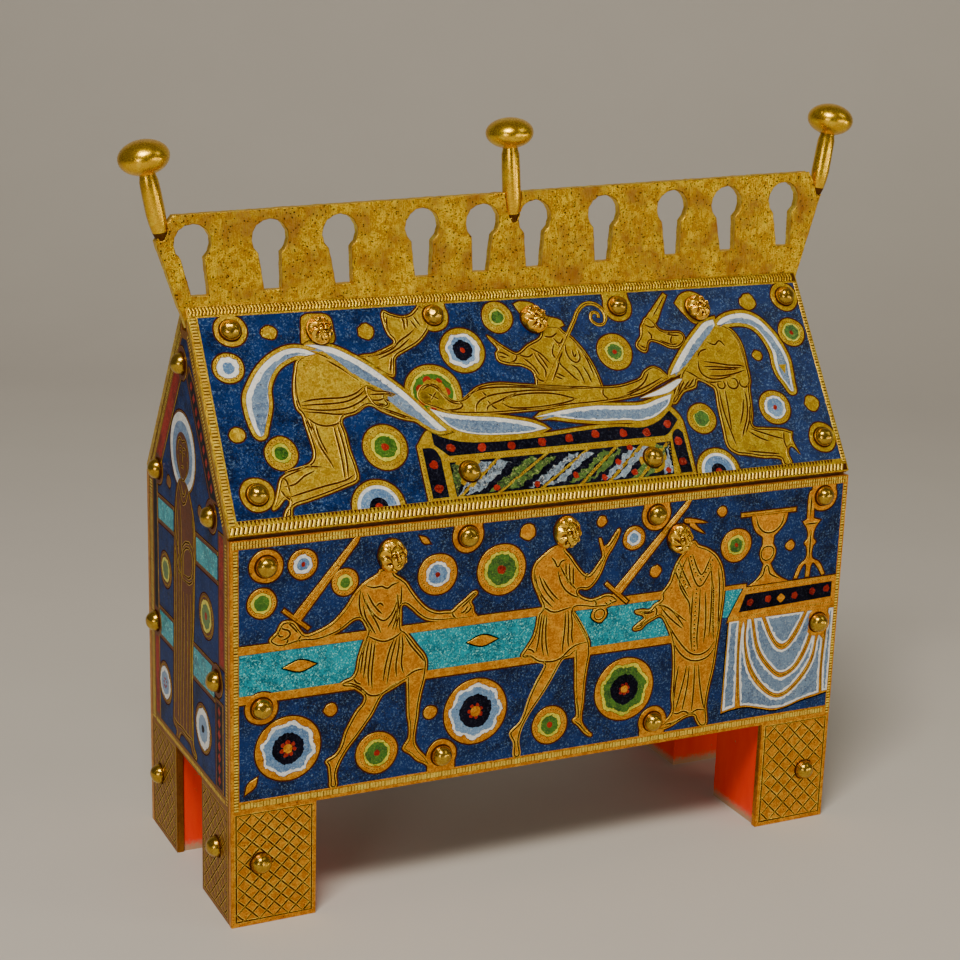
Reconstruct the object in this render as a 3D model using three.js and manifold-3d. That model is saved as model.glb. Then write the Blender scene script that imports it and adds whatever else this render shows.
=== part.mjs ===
// A house-shaped reliquary casket: enamelled and gilded copper plates nailed over a wooden box
// on four legs, with a pierced crest along the ridge that carries three knobs.
// Millimetres, +Z up, +X along the length, the main face towards -Y.
// The origin is on the ground, under the middle of the box.
import * as THREE from 'three';
import { mergeVertices } from 'three/addons/utils/BufferGeometryUtils.js';
import Module from 'manifold-3d';

const wasm = await Module();
wasm.setup();

// Driving dimensions of the house.
const LENGTH = 170;
const DEPTH = 66;
const LEG_HEIGHT = 29.8;
const FOOT_LENGTH = 21.5;
const FOOT_DEPTH = 22.5;
const EAVES_HEIGHT = 98.5;
const RIDGE_HEIGHT = 145.6;
const PLATE = 1.8;
const BOARD = 6;
const ROOF_BOARD = 5;
const GAP = 0.3;
const EAVES_JOINT = 1.3;

// Driving dimensions of the crest and its knobs.
const CREST_THICKNESS = 2.6;
const CREST_FOOT = 140;
const CREST_TOP_LEFT = 167;
const CREST_TOP_RIGHT = 172.4;
const CREST_HALF_TOP = 87.6;
const CREST_HORN = 92;
const CREST_SHOULDER_DROP = 6;
const HOLE_RADIUS = 4.6;
const SLOT_HALF_TOP = 2.9;
const SLOT_HALF_FOOT = 2.2;
const SLOT_START = 2.4;
const BALL_RADIUS = 6.1;
const BALL_HALF_HEIGHT = 4.5;
const STEM_RADIUS = 2.4;

// Driving dimensions of the nails and the applied heads.
const NAIL_RADIUS = 2.8;
const NAIL_DOME = 2.5;
const SHANK_RADIUS = 0.8;
const SHANK_LENGTH = 5.2;
const NAIL_SIDES = 10;
const HEAD_RELIEF = 2.7;

// Worked-out places.
const HALF_LENGTH = LENGTH / 2;
const HALF_DEPTH = DEPTH / 2;
const RIDGE_HALF = CREST_THICKNESS / 2 + GAP;
const SLOPE = Math.atan2(RIDGE_HEIGHT - EAVES_HEIGHT, HALF_DEPTH - RIDGE_HALF);
const WALL_TOP = EAVES_HEIGHT - EAVES_JOINT;
const SKIN = PLATE + GAP;
const CORE_X = HALF_LENGTH - SKIN;
const CORE_Y = HALF_DEPTH - SKIN;
const ROOM_X = CORE_X - BOARD - GAP;
const ROOM_Y = CORE_Y - BOARD - GAP;
const LEG_TOP = LEG_HEIGHT - GAP;

// The finishes.
const FINISHES = {
  enamelled: { color: 0x1d3f8a, roughness: 0.35, metalness: 0.4 },
  gilt: { color: 0xb8872b, roughness: 0.35, metalness: 0.9 },
  cast: { color: 0xc79a3c, roughness: 0.28, metalness: 0.9 },
  wood: { color: 0x8a5a34, roughness: 0.8, metalness: 0 },
  painted: { color: 0xc2401c, roughness: 0.7, metalness: 0 },
};

const casket = new THREE.Group();

// ---- Solids ----

function solidOf(geometry) {
  const bare = geometry.clone();
  bare.deleteAttribute('normal');
  bare.deleteAttribute('uv');
  const merged = mergeVertices(bare, 1e-4);
  const vertProperties = new Float32Array(merged.attributes.position.array);
  const triVerts = new Uint32Array(merged.index.array);
  return new wasm.Manifold(new wasm.Mesh({ numProp: 3, vertProperties, triVerts }));
}

function geometryOf(solid) {
  const mesh = solid.getMesh();
  const geometry = new THREE.BufferGeometry();
  geometry.setAttribute('position', new THREE.BufferAttribute(mesh.vertProperties, 3));
  geometry.setIndex(new THREE.BufferAttribute(mesh.triVerts, 1));
  geometry.computeVertexNormals();
  return geometry;
}

function cutFrom(geometry, cutters) {
  const cut = cutters.reduce((body, cutter) => body.subtract(solidOf(cutter)), solidOf(geometry));
  return geometryOf(cut);
}

function joined(geometries) {
  const solids = geometries.map(solidOf);
  return geometryOf(solids.reduce((body, solid) => body.add(solid)));
}

// An outline of [x, z] points drawn out along Y.
function prismAlongY(outline, yFront, yBack) {
  const shape = new THREE.Shape(outline.map(([x, z]) => new THREE.Vector2(x, z)));
  const geometry = new THREE.ExtrudeGeometry(shape, { depth: yBack - yFront, bevelEnabled: false });
  return geometry.rotateX(Math.PI / 2).translate(0, yBack, 0);
}

// An outline of [y, z] points drawn out along X.
function prismAlongX(outline, xLeft, xRight) {
  const shape = new THREE.Shape(outline.map(([y, z]) => new THREE.Vector2(y, z)));
  const geometry = new THREE.ExtrudeGeometry(shape, { depth: xRight - xLeft, bevelEnabled: false });
  const turn = new THREE.Matrix4().makeBasis(
    new THREE.Vector3(0, 1, 0), new THREE.Vector3(0, 0, 1), new THREE.Vector3(1, 0, 0));
  return geometry.applyMatrix4(turn).translate(xLeft, 0, 0);
}

function block(xRange, yRange, zRange) {
  const size = [xRange, yRange, zRange].map(([low, high]) => high - low);
  const middle = [xRange, yRange, zRange].map(([low, high]) => (low + high) / 2);
  return new THREE.BoxGeometry(...size).translate(...middle);
}

function addPiece(name, geometry, finish) {
  const mesh = new THREE.Mesh(geometry, new THREE.MeshStandardMaterial(FINISHES[finish]));
  mesh.name = name;
  casket.add(mesh);
  return mesh;
}

// ---- The faces of the house ----

// Height of the plane that lies `deep` under the roof's outer skin, at a place across the house.
function underRoof(y, deep) {
  return EAVES_HEIGHT + (HALF_DEPTH - Math.abs(y)) * Math.tan(SLOPE) - deep / Math.cos(SLOPE);
}

// Each face has a lower corner, the way its width and height run, and the way it looks.
// u runs to the right and v runs up for someone who stands in front of the face.
function faceFrame(origin, right, up) {
  const u = new THREE.Vector3(...right);
  const v = new THREE.Vector3(...up);
  const out = new THREE.Vector3().crossVectors(u, v);
  return new THREE.Matrix4().makeBasis(u, v, out).setPosition(...origin);
}

const RISE = [Math.cos(SLOPE), Math.sin(SLOPE)];
const FACES = {
  front: faceFrame([-HALF_LENGTH, -HALF_DEPTH, 0], [1, 0, 0], [0, 0, 1]),
  back: faceFrame([HALF_LENGTH, HALF_DEPTH, 0], [-1, 0, 0], [0, 0, 1]),
  left: faceFrame([-HALF_LENGTH, HALF_DEPTH, 0], [0, -1, 0], [0, 0, 1]),
  roof: faceFrame([-HALF_LENGTH, -HALF_DEPTH, EAVES_HEIGHT], [1, 0, 0], [0, ...RISE]),
};

function placeOn(face, u, v, turn = 0) {
  const place = new THREE.Matrix4().makeTranslation(u, v, 0);
  const spin = new THREE.Matrix4().makeRotationZ(turn);
  return FACES[face].clone().multiply(place).multiply(spin);
}

// Where the nails are driven, in millimetres from each face's lower left corner.
const NAILS = {
  front: [[8.7, 90.5], [59.9, 92.3], [112.1, 92.3], [162.6, 92.3], [7.6, 55.7],
    [54.2, 36.4], [114.2, 36.2], [163.8, 57.1], [7.4, 16.1], [162.9, 14.8]],
  roof: [[9.6, 50], [61.9, 50.6], [113.6, 50], [164.6, 49.8],
    [8.4, 9.3], [62.4, 9.9], [113, 8.8], [164.6, 9.7]],
  left: [[10, 100], [52.5, 99.5], [30.8, 131.3], [6.8, 58.5], [56, 60], [8.6, 16.5], [55.4, 17]],
  back: [[8, 91], [162, 91], [8, 37], [162, 37], [8, 15.5], [162, 15.5]],
};

function nailHoles(...faces) {
  return faces.flatMap((face) => NAILS[face].map(([u, v]) => {
    const deep = SHANK_LENGTH + 2 * GAP;
    const drill = new THREE.CylinderGeometry(SHANK_RADIUS + GAP, SHANK_RADIUS + GAP, deep + 1, 8);
    drill.rotateX(Math.PI / 2).translate(0, 0, (1 - deep) / 2);
    return drill.applyMatrix4(placeOn(face, u, v));
  }));
}

// ---- Wooden box ----

function slopedBoard(side) {
  const [low, high] = [SKIN, SKIN + ROOF_BOARD];
  const outline = [[CORE_Y, low], [RIDGE_HALF, low], [RIDGE_HALF, high], [CORE_Y, high]]
    .map(([y, deep]) => [side * y, underRoof(y, deep)]);
  return prismAlongX(outline, -CORE_X, CORE_X);
}

function sideBoard(side) {
  const deep = SKIN + ROOF_BOARD + GAP;
  const inner = CORE_Y - BOARD;
  const outline = [[CORE_Y, LEG_HEIGHT], [CORE_Y, underRoof(CORE_Y, deep)],
    [inner, underRoof(inner, deep)], [inner, LEG_HEIGHT]].map(([y, z]) => [side * y, z]);
  return prismAlongX(outline, -ROOM_X, ROOM_X);
}

function gableBoard(side) {
  const deep = SKIN + ROOF_BOARD + GAP;
  const shoulder = underRoof(CORE_Y, deep);
  const outline = [[-CORE_Y, LEG_HEIGHT], [CORE_Y, LEG_HEIGHT], [CORE_Y, shoulder],
    [0, underRoof(0, deep)], [-CORE_Y, shoulder]];
  const [near, far] = [side * CORE_X, side * (CORE_X - BOARD)];
  return prismAlongX(outline, Math.min(near, far), Math.max(near, far));
}

function leg(xSide, ySide) {
  const setBack = 0.5;
  const inner = [HALF_LENGTH - FOOT_LENGTH + setBack, HALF_DEPTH - FOOT_DEPTH + setBack];
  const xRange = [xSide * CORE_X, xSide * inner[0]].sort((a, b) => a - b);
  const yRange = [ySide * CORE_Y, ySide * inner[1]].sort((a, b) => a - b);
  return block(xRange, yRange, [0, LEG_TOP]);
}

function buildWood() {
  addPiece('board_front', cutFrom(sideBoard(-1), nailHoles('front')), 'wood');
  addPiece('board_back', cutFrom(sideBoard(1), nailHoles('back')), 'wood');
  addPiece('board_left', cutFrom(gableBoard(-1), nailHoles('left', 'front', 'back')), 'wood');
  addPiece('board_right', cutFrom(gableBoard(1), nailHoles('front', 'back')), 'wood');
  const floor = block([-ROOM_X, ROOM_X], [-ROOM_Y, ROOM_Y], [LEG_HEIGHT, LEG_HEIGHT + BOARD]);
  addPiece('board_floor', floor, 'wood');
  addPiece('board_roof_front', cutFrom(slopedBoard(-1), nailHoles('roof', 'front', 'left')), 'wood');
  addPiece('board_roof_back', cutFrom(slopedBoard(1), nailHoles('back', 'left')), 'wood');
  const holes = nailHoles('front', 'back', 'left');
  addPiece('leg_front_left', cutFrom(leg(-1, -1), holes), 'painted');
  addPiece('leg_front_right', cutFrom(leg(1, -1), holes), 'painted');
  addPiece('leg_back_left', cutFrom(leg(-1, 1), holes), 'painted');
  addPiece('leg_back_right', cutFrom(leg(1, 1), holes), 'painted');
}

// ---- Copper plates ----

function longPlate(side, holes) {
  const foot = HALF_LENGTH - FOOT_LENGTH;
  const outline = [[-HALF_LENGTH, 0], [-foot, 0], [-foot, LEG_HEIGHT], [foot, LEG_HEIGHT],
    [foot, 0], [HALF_LENGTH, 0], [HALF_LENGTH, WALL_TOP], [-HALF_LENGTH, WALL_TOP]];
  const [near, far] = [side * HALF_DEPTH, side * (HALF_DEPTH - PLATE)];
  return cutFrom(prismAlongY(outline, Math.min(near, far), Math.max(near, far)), holes);
}

function endPlate(side, holes) {
  const foot = HALF_DEPTH - FOOT_DEPTH;
  const edge = HALF_DEPTH - SKIN;
  const slant = (y) => underRoof(y, SKIN);
  const outline = [[-edge, 0], [-foot, 0], [-foot, LEG_HEIGHT], [foot, LEG_HEIGHT], [foot, 0],
    [edge, 0], [edge, slant(edge)], [0, slant(0)], [-edge, slant(edge)]];
  const [near, far] = [side * HALF_LENGTH, side * (HALF_LENGTH - PLATE)];
  const plate = prismAlongX(outline, Math.min(near, far), Math.max(near, far));
  const notch = block([-HALF_LENGTH - 1, HALF_LENGTH + 1], [-RIDGE_HALF, RIDGE_HALF],
    [CREST_FOOT - GAP, CREST_TOP_RIGHT]);
  return cutFrom(plate, [notch, ...holes]);
}

function roofPlate(side, holes) {
  const lip = [HALF_DEPTH - PLATE * Math.sin(SLOPE), EAVES_HEIGHT - PLATE * Math.cos(SLOPE)];
  const outline = [[HALF_DEPTH, EAVES_HEIGHT], [RIDGE_HALF, underRoof(RIDGE_HALF, 0)],
    [RIDGE_HALF, underRoof(RIDGE_HALF, PLATE)], lip].map(([y, z]) => [side * y, z]);
  return cutFrom(prismAlongX(outline, -HALF_LENGTH, HALF_LENGTH), holes);
}

function buildPlates() {
  addPiece('plate_front', longPlate(-1, nailHoles('front')), 'enamelled');
  addPiece('plate_back', longPlate(1, nailHoles('back')), 'enamelled');
  addPiece('plate_left', endPlate(-1, nailHoles('left')), 'enamelled');
  addPiece('plate_right', endPlate(1, []), 'enamelled');
  addPiece('plate_roof_front', roofPlate(-1, nailHoles('roof')), 'enamelled');
  addPiece('plate_roof_back', roofPlate(1, []), 'enamelled');
}

// ---- Knobs and crest ----

// Each knob's tip and ball centre, as [x, z].
const KNOBS = {
  knob_left: { tip: [-90, 160.6], ball: [-94, 180] },
  knob_middle: { tip: [0.4, 161.6], ball: [-1.2, 183.6] },
  knob_right: { tip: [91, 165.4], ball: [94, 185.8] },
};

// A ball on a stem that narrows to a rounded point, turned about Z; `swell` grows it all over.
function knob(reach, swell) {
  const wide = (radius) => radius + swell;
  const neck = reach - BALL_HALF_HEIGHT * 0.88;
  const profile = [[0, -swell], [wide(1.1), 0.9 - swell * 0.5], [wide(1.9), 3.2], [wide(STEM_RADIUS), 7],
    [wide(STEM_RADIUS * 0.96), neck - 2], [wide(STEM_RADIUS * 0.8), neck - 0.4]];
  const rings = 7;
  for (let ring = 1; ring <= rings; ring += 1) {
    const angle = -1.1 + (Math.PI / 2 + 1.1) * (ring / rings);
    const radius = ring === rings ? 0 : wide(BALL_RADIUS * Math.cos(angle));
    profile.push([radius, reach + (BALL_HALF_HEIGHT + swell) * Math.sin(angle)]);
  }
  const points = profile.map(([radius, height]) => new THREE.Vector2(radius, height));
  return new THREE.LatheGeometry(points, 16).rotateX(Math.PI / 2);
}

function knobPlace({ tip, ball }) {
  const lean = Math.atan2(ball[0] - tip[0], ball[1] - tip[1]);
  const reach = Math.hypot(ball[0] - tip[0], ball[1] - tip[1]);
  return { lean, reach, tip };
}

function buildKnobs() {
  Object.entries(KNOBS).forEach(([name, ends]) => {
    const { lean, reach, tip } = knobPlace(ends);
    const piece = addPiece(name, knob(reach, 0), 'cast');
    piece.position.set(tip[0], 0, tip[1]);
    piece.rotation.set(0, lean, 0);
  });
}

// Keyholes of the crest: circle centre x and the x of the slot's foot.
const KEYHOLES = [[-83, -81.3], [-64, -63.2], [-46.2, -45], [-24.7, -24.2], [-8.4, -8.6],
  [6.1, 6.3], [25.8, 26], [46, 46.7], [62.4, 63.5], [80.1, 81]];

function crestTop(x) {
  const along = (x + CREST_HALF_TOP) / (2 * CREST_HALF_TOP);
  return CREST_TOP_LEFT + (CREST_TOP_RIGHT - CREST_TOP_LEFT) * along;
}

function keyhole([x, slotX]) {
  const drop = 6.9;
  const height = crestTop(x) - drop;
  const foot = height - 12.4;
  const outline = [[slotX - SLOT_HALF_FOOT, foot], [slotX + SLOT_HALF_FOOT, foot]];
  const start = -Math.acos(SLOT_HALF_TOP / HOLE_RADIUS);
  const sweep = Math.PI - 2 * start;
  const steps = 12;
  for (let step = 0; step <= steps; step += 1) {
    const angle = start + sweep * (step / steps);
    outline.push([x + HOLE_RADIUS * Math.cos(angle), height + HOLE_RADIUS * Math.sin(angle)]);
  }
  return prismAlongY(outline, -CREST_THICKNESS, CREST_THICKNESS);
}

function buildCrest() {
  const shoulder = (side) => [side * CREST_HORN, crestTop(side * CREST_HALF_TOP) - CREST_SHOULDER_DROP];
  const foot = HALF_LENGTH - 0.4;
  const outline = [[-foot, CREST_FOOT], [foot, CREST_FOOT], shoulder(1),
    [CREST_HALF_TOP, CREST_TOP_RIGHT], [-CREST_HALF_TOP, CREST_TOP_LEFT], shoulder(-1)];
  const sheet = prismAlongY(outline, -CREST_THICKNESS / 2, CREST_THICKNESS / 2);
  const sockets = Object.values(KNOBS).map((ends) => {
    const { lean, reach, tip } = knobPlace(ends);
    return knob(reach, GAP).rotateY(lean).translate(tip[0], 0, tip[1]);
  });
  addPiece('crest', cutFrom(sheet, [...KEYHOLES.map(keyhole), ...sockets]), 'gilt');
}

// ---- Nails and applied heads ----

function nail() {
  const dome = [0.42, 0.76].map((part) => {
    const angle = part * Math.PI / 2;
    return [NAIL_RADIUS * Math.cos(angle), GAP + NAIL_DOME * Math.sin(angle)];
  });
  const profile = [[0, -SHANK_LENGTH], [SHANK_RADIUS, -SHANK_LENGTH + 1.5], [SHANK_RADIUS, GAP],
    [NAIL_RADIUS, GAP], ...dome, [0, GAP + NAIL_DOME]];
  const points = profile.map(([radius, height]) => new THREE.Vector2(radius, height));
  return new THREE.LatheGeometry(points, NAIL_SIDES).rotateX(Math.PI / 2);
}

function buildNails() {
  Object.entries(NAILS).forEach(([face, places]) => {
    places.forEach(([u, v], index) => {
      const name = `nail_${face}_${String(index + 1).padStart(2, '0')}`;
      addPiece(name, nail(), 'cast').applyMatrix4(placeOn(face, u, v));
    });
  });
}

// Where each head sits on its face, its width and height, and its lean in degrees.
const HEADS = {
  head_swordsman_left: { face: 'front', at: [40.1, 89.7], size: [7.4, 8.8], lean: 12, bearded: false },
  head_swordsman_right: { face: 'front', at: [86.7, 90.5], size: [7.4, 8.6], lean: 14, bearded: false },
  head_priest: { face: 'front', at: [119.7, 86.2], size: [7.2, 8.2], lean: 18, bearded: true },
  head_bearer_left: { face: 'roof', at: [33.2, 49.1], size: [6.6, 7.8], lean: 4, bearded: true },
  head_bishop: { face: 'roof', at: [90.4, 48], size: [6.8, 8], lean: 38, bearded: true },
  head_bearer_right: { face: 'roof', at: [138, 47.9], size: [6.4, 7.4], lean: 34, bearded: true },
};

function egg(center, radii, across = 12, up = 8) {
  return new THREE.SphereGeometry(1, across, up).scale(...radii).translate(...center);
}

// A head cast in half relief: a face, a cap of hair that stands lower, a nose and, on some, a beard.
function head([width, height], bearded) {
  const half = [width / 2, height / 2];
  const face = egg([0, -half[1] * 0.12, GAP], [half[0] * 0.72, half[1] * 0.84, HEAD_RELIEF]);
  const hair = egg([0, half[1] * 0.16, GAP], [half[0], half[1] * 0.84, HEAD_RELIEF * 0.78]);
  const nose = new THREE.ConeGeometry(0.5, half[1] * 0.62, 4)
    .translate(0, -half[1] * 0.05, GAP + HEAD_RELIEF * 0.93);
  const parts = [face, hair, nose];
  if (bearded) {
    parts.push(egg([0, -half[1] * 0.6, GAP], [half[0] * 0.56, half[1] * 0.4, HEAD_RELIEF * 0.86], 8, 6));
  }
  const back = block([-width, width], [-height, height], [-2 * HEAD_RELIEF, GAP]);
  return cutFrom(joined(parts), [back]);
}

function buildHeads() {
  Object.entries(HEADS).forEach(([name, { face, at, size, lean, bearded }]) => {
    const turn = THREE.MathUtils.degToRad(lean);
    addPiece(name, head(size, bearded), 'cast').applyMatrix4(placeOn(face, ...at, turn));
  });
}

buildWood();
buildPlates();
buildCrest();
buildKnobs();
buildNails();
buildHeads();

export default casket;
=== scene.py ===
"""A reliquary casket shaped like a small house: champleve enamel plates nailed over a wooden box,
cast heads applied to engraved gilt figures, and a pierced crest with three knobs along the ridge."""
import math
import random

import bpy
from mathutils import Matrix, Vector, noise
from mathutils.geometry import tessellate_polygon


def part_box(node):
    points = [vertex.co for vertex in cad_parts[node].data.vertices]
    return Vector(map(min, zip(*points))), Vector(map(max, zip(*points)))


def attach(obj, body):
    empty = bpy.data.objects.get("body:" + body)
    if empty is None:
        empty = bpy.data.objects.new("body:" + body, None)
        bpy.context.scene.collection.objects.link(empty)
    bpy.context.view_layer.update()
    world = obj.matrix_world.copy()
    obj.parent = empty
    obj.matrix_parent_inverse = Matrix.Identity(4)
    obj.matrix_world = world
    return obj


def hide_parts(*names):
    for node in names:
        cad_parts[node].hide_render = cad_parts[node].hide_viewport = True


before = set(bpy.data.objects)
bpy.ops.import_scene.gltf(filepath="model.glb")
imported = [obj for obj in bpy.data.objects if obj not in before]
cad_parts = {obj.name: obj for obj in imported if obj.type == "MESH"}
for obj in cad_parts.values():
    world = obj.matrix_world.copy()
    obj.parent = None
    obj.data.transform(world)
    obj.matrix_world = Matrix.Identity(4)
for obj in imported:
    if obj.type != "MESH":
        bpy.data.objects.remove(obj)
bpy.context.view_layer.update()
MM = 0.001
TAU = 2 * math.pi
SEED = 1203  # for the random draws, and for the offsets that noise vectors start from
rng = random.Random(SEED)
noise.seed_set(SEED)


# -------------------- finishes

class Wire:
    """A socket's value, for sums written as plain expressions."""

    def __init__(self, finish, socket):
        self.finish = finish
        self.socket = socket

    def sum(self, operation, *values):
        return self.finish.node("ShaderNodeMath", {"operation": operation}, dict(enumerate(values)))

    def __add__(self, other):
        return self.sum("ADD", self, other)

    def __sub__(self, other):
        return self.sum("SUBTRACT", self, other)

    def __rsub__(self, other):
        return self.sum("SUBTRACT", other, self)

    def __mul__(self, other):
        return self.sum("MULTIPLY", self, other)

    __radd__ = __add__
    __rmul__ = __mul__


class Finish:
    """One material and the nodes that make it."""

    def __init__(self, name, **plain):
        self.material = bpy.data.materials.new(name)
        self.material.use_nodes = True
        self.tree = self.material.node_tree
        self.shader = self.tree.nodes["Principled BSDF"]
        self.place = self.node("ShaderNodeTexCoord", out="Object")
        for socket, value in plain.items():
            self.input(socket).default_value = value

    def input(self, name):
        return self.shader.inputs["IOR" if name == "ior" else name.replace("_", " ").title()]

    def node(self, kind, settings=None, sockets=None, out=0):
        made = self.tree.nodes.new(kind)
        for name, value in (settings or {}).items():
            setattr(made, name, value)
        for key, value in (sockets or {}).items():
            if isinstance(value, Wire):
                self.tree.links.new(value.socket, made.inputs[key])
            else:
                made.inputs[key].default_value = value
        return Wire(self, made.outputs[out])

    def noise(self, size_mm, detail=3.0, rough=0.55, stretch=(1, 1, 1)):
        """Cloudy noise, 0 to 1, whose blobs are about size_mm across."""
        place = self.node("ShaderNodeVectorMath", {"operation": "MULTIPLY"}, {0: self.place, 1: stretch})
        sockets = {"Vector": place, "Scale": 1 / (size_mm * MM), "Detail": detail, "Roughness": rough}
        return self.node("ShaderNodeTexNoise", sockets=sockets)

    def grains(self, size_mm):
        """Distance to the middle of the nearest grain of a scatter of grains."""
        sockets = {"Vector": self.place, "Scale": 1 / (size_mm * MM)}
        return self.node("ShaderNodeTexVoronoi", sockets=sockets, out="Distance")

    def ease(self, value, low, high):
        """0 below low, 1 above high, and smooth between; low may be the larger one."""
        sockets = {"Value": value, "From Min": low, "From Max": high}
        return self.node("ShaderNodeMapRange", {"interpolation_type": "SMOOTHSTEP"}, sockets)

    def blend(self, mask, under, over):
        sockets = {0: mask, 6: under, 7: over}
        return self.node("ShaderNodeMix", {"data_type": "RGBA"}, sockets, out=2)

    def feed(self, **wires):
        for name, wire in wires.items():
            self.tree.links.new(wire.socket, self.input(name))

    def relief(self, height, depth_mm, strength=1.0):
        sockets = {"Height": height, "Distance": depth_mm * MM, "Strength": strength}
        self.feed(normal=self.node("ShaderNodeBump", sockets=sockets))


def colour(red, green, blue):
    return (red, green, blue, 1.0)


ORANGE_GILT = colour(0.8, 0.36, 0.02)
YELLOW_GILT = colour(0.84, 0.585, 0.032)
WORN_COPPER = colour(0.34, 0.12, 0.04)
GRIME = colour(0.03, 0.015, 0.007)


def enamel(name, deep, light, speck, flecks=0.3, cloud_mm=5.0, ior=1.33, sound=0.46):
    """Fired glass: clouded from deep to light, with pale grains and dark pinholes, polished flush."""
    fin = Finish("enamel_" + name, coat_roughness=0.12, ior=ior)
    clouds = fin.noise(cloud_mm, 5, 0.65)
    powder = fin.noise(0.5, 4, 0.8)
    body = fin.blend(fin.ease(clouds * 0.45 + powder * 0.55, 0.42, 0.58), deep, light)
    body = fin.blend(fin.ease(fin.noise(20, 2), 0.42, 0.66) * 0.5, body, light)
    grit = fin.ease(fin.noise(0.55, 3, 0.9), 0.53, 0.64) * fin.ease(fin.noise(2.2, 3), 0.36, 0.6)
    body = fin.blend(grit * flecks, body, speck)
    unsound = fin.ease(fin.noise(4.0, 2), sound, sound + 0.12)
    pinholes = fin.ease(fin.grains(1.4), 0.17, 0.08) * unsound
    body = fin.blend(pinholes * 0.85, body, GRIME)
    fin.feed(base_color=body, roughness=powder * 0.3 + 0.16, coat_weight=clouds * (ior - 1) * 0.6)
    fin.relief(powder * 0.5 - pinholes * 1.2 + clouds * 0.6, 0.04, 0.6)
    return fin.material


def gilding(name, gold, wear, rough, pits=0.5, streaks=0.3, mottle=0.6, beaten=1.0, pitted=0.5,
            brush=(0.15, 1, 1)):
    """Fire gilding on copper: blotchy, rubbed through to red-brown in patches, pitted and scratched."""
    fin = Finish(name, metallic=0.95)
    patches = fin.noise(8.0, 5, 0.62)
    tone = fin.noise(1.8, 5, 0.7)
    fine = fin.noise(0.45, 4, 0.75)
    redder = (gold[0] * (0.82 - 0.37 * mottle), gold[1] * (0.6 - 0.3 * mottle), gold[2] * 0.3, 1)
    yellower = (min(1.0, gold[0] * 1.12), gold[1] * 1.3, gold[2] * 1.6, 1)
    body = fin.blend(fin.ease(patches * 0.6 + tone * 0.4, 0.48, 0.62) * 0.6, gold, yellower)
    body = fin.blend(fin.ease(tone * 0.5 + fine * 0.5, 0.6, 0.42) * mottle, body, redder)
    rubbed = fin.ease(patches * 0.5 + tone * 0.2 + fine * 0.3, 0.64 - 0.2 * wear, 0.76 - 0.16 * wear)
    body = fin.blend(rubbed * 0.85, body, WORN_COPPER)
    corroded = fin.ease(fin.noise(2.6, 3), pitted, pitted + 0.14)
    holes = fin.ease(fin.grains(0.9) + fine * 0.5, 0.51, 0.38) * corroded
    body = fin.blend(holes * pits, body, GRIME)
    brushed = fin.noise(0.4, 3, 0.6, brush)
    body = fin.blend(fin.ease(brushed, 0.54, 0.7) * streaks * 0.35, body, redder)
    fin.feed(base_color=body, roughness=fine * 0.24 + rubbed * 0.2 + rough)
    fin.relief(fine * 0.7 + tone + patches * 2.4 + brushed * streaks - holes * 1.5, 0.075, beaten)
    return fin.material


def grime_and_painted_shade_finish():
    """Grime and tarnish in the graver's cuts and round the enamel, and painted shade as well: it darkens
    cuts, seams, punch holes, the rings round the nail heads and the deepest hollows of the heads.
    """
    fin = Finish("grime_and_painted_shade_in_engraving", roughness=0.75, ior=1.12)
    grime = fin.blend(fin.noise(1.5, 3), colour(0.024, 0.005, 0.001), colour(0.085, 0.022, 0.004))
    fin.feed(base_color=grime)
    return fin.material


def painted_wood():
    """Orange-red paint, brushed on, chipped, and gone at the feet."""
    fin = Finish("orange_red_paint_on_wood", ior=1.25)
    streaks = fin.noise(3.0, 4, 0.6, (1, 1, 0.25))
    grit = fin.noise(0.8, 4, 0.7)
    height = fin.node("ShaderNodeSeparateXYZ", sockets={0: fin.place}, out="Z")
    scuffed = fin.ease(height + grit * 0.0035, 0.005, 0.0022)
    chips = fin.ease(fin.noise(2.4, 4, 0.7), 0.66, 0.72)
    paint = fin.blend(streaks, colour(0.86, 0.016, 0.004), colour(1.0, 0.066, 0.01))
    body = fin.blend(scuffed * 0.9 + chips * 0.6, paint, colour(0.42, 0.32, 0.2))
    fin.feed(base_color=body, roughness=grit * 0.25 + 0.42)
    fin.relief(streaks + grit * 0.6 - chips * 0.8, 0.12, 0.6)
    return fin.material


def bare_oak():
    """Brown oak with its grain along the board."""
    fin = Finish("bare_oak_boards", roughness=0.7)
    grain = fin.noise(1.2, 5, 0.65, (0.08, 1, 1))
    fin.feed(base_color=fin.blend(grain, colour(0.1, 0.05, 0.022), colour(0.27, 0.15, 0.07)))
    fin.relief(grain, 0.15, 0.6)
    return fin.material


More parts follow.
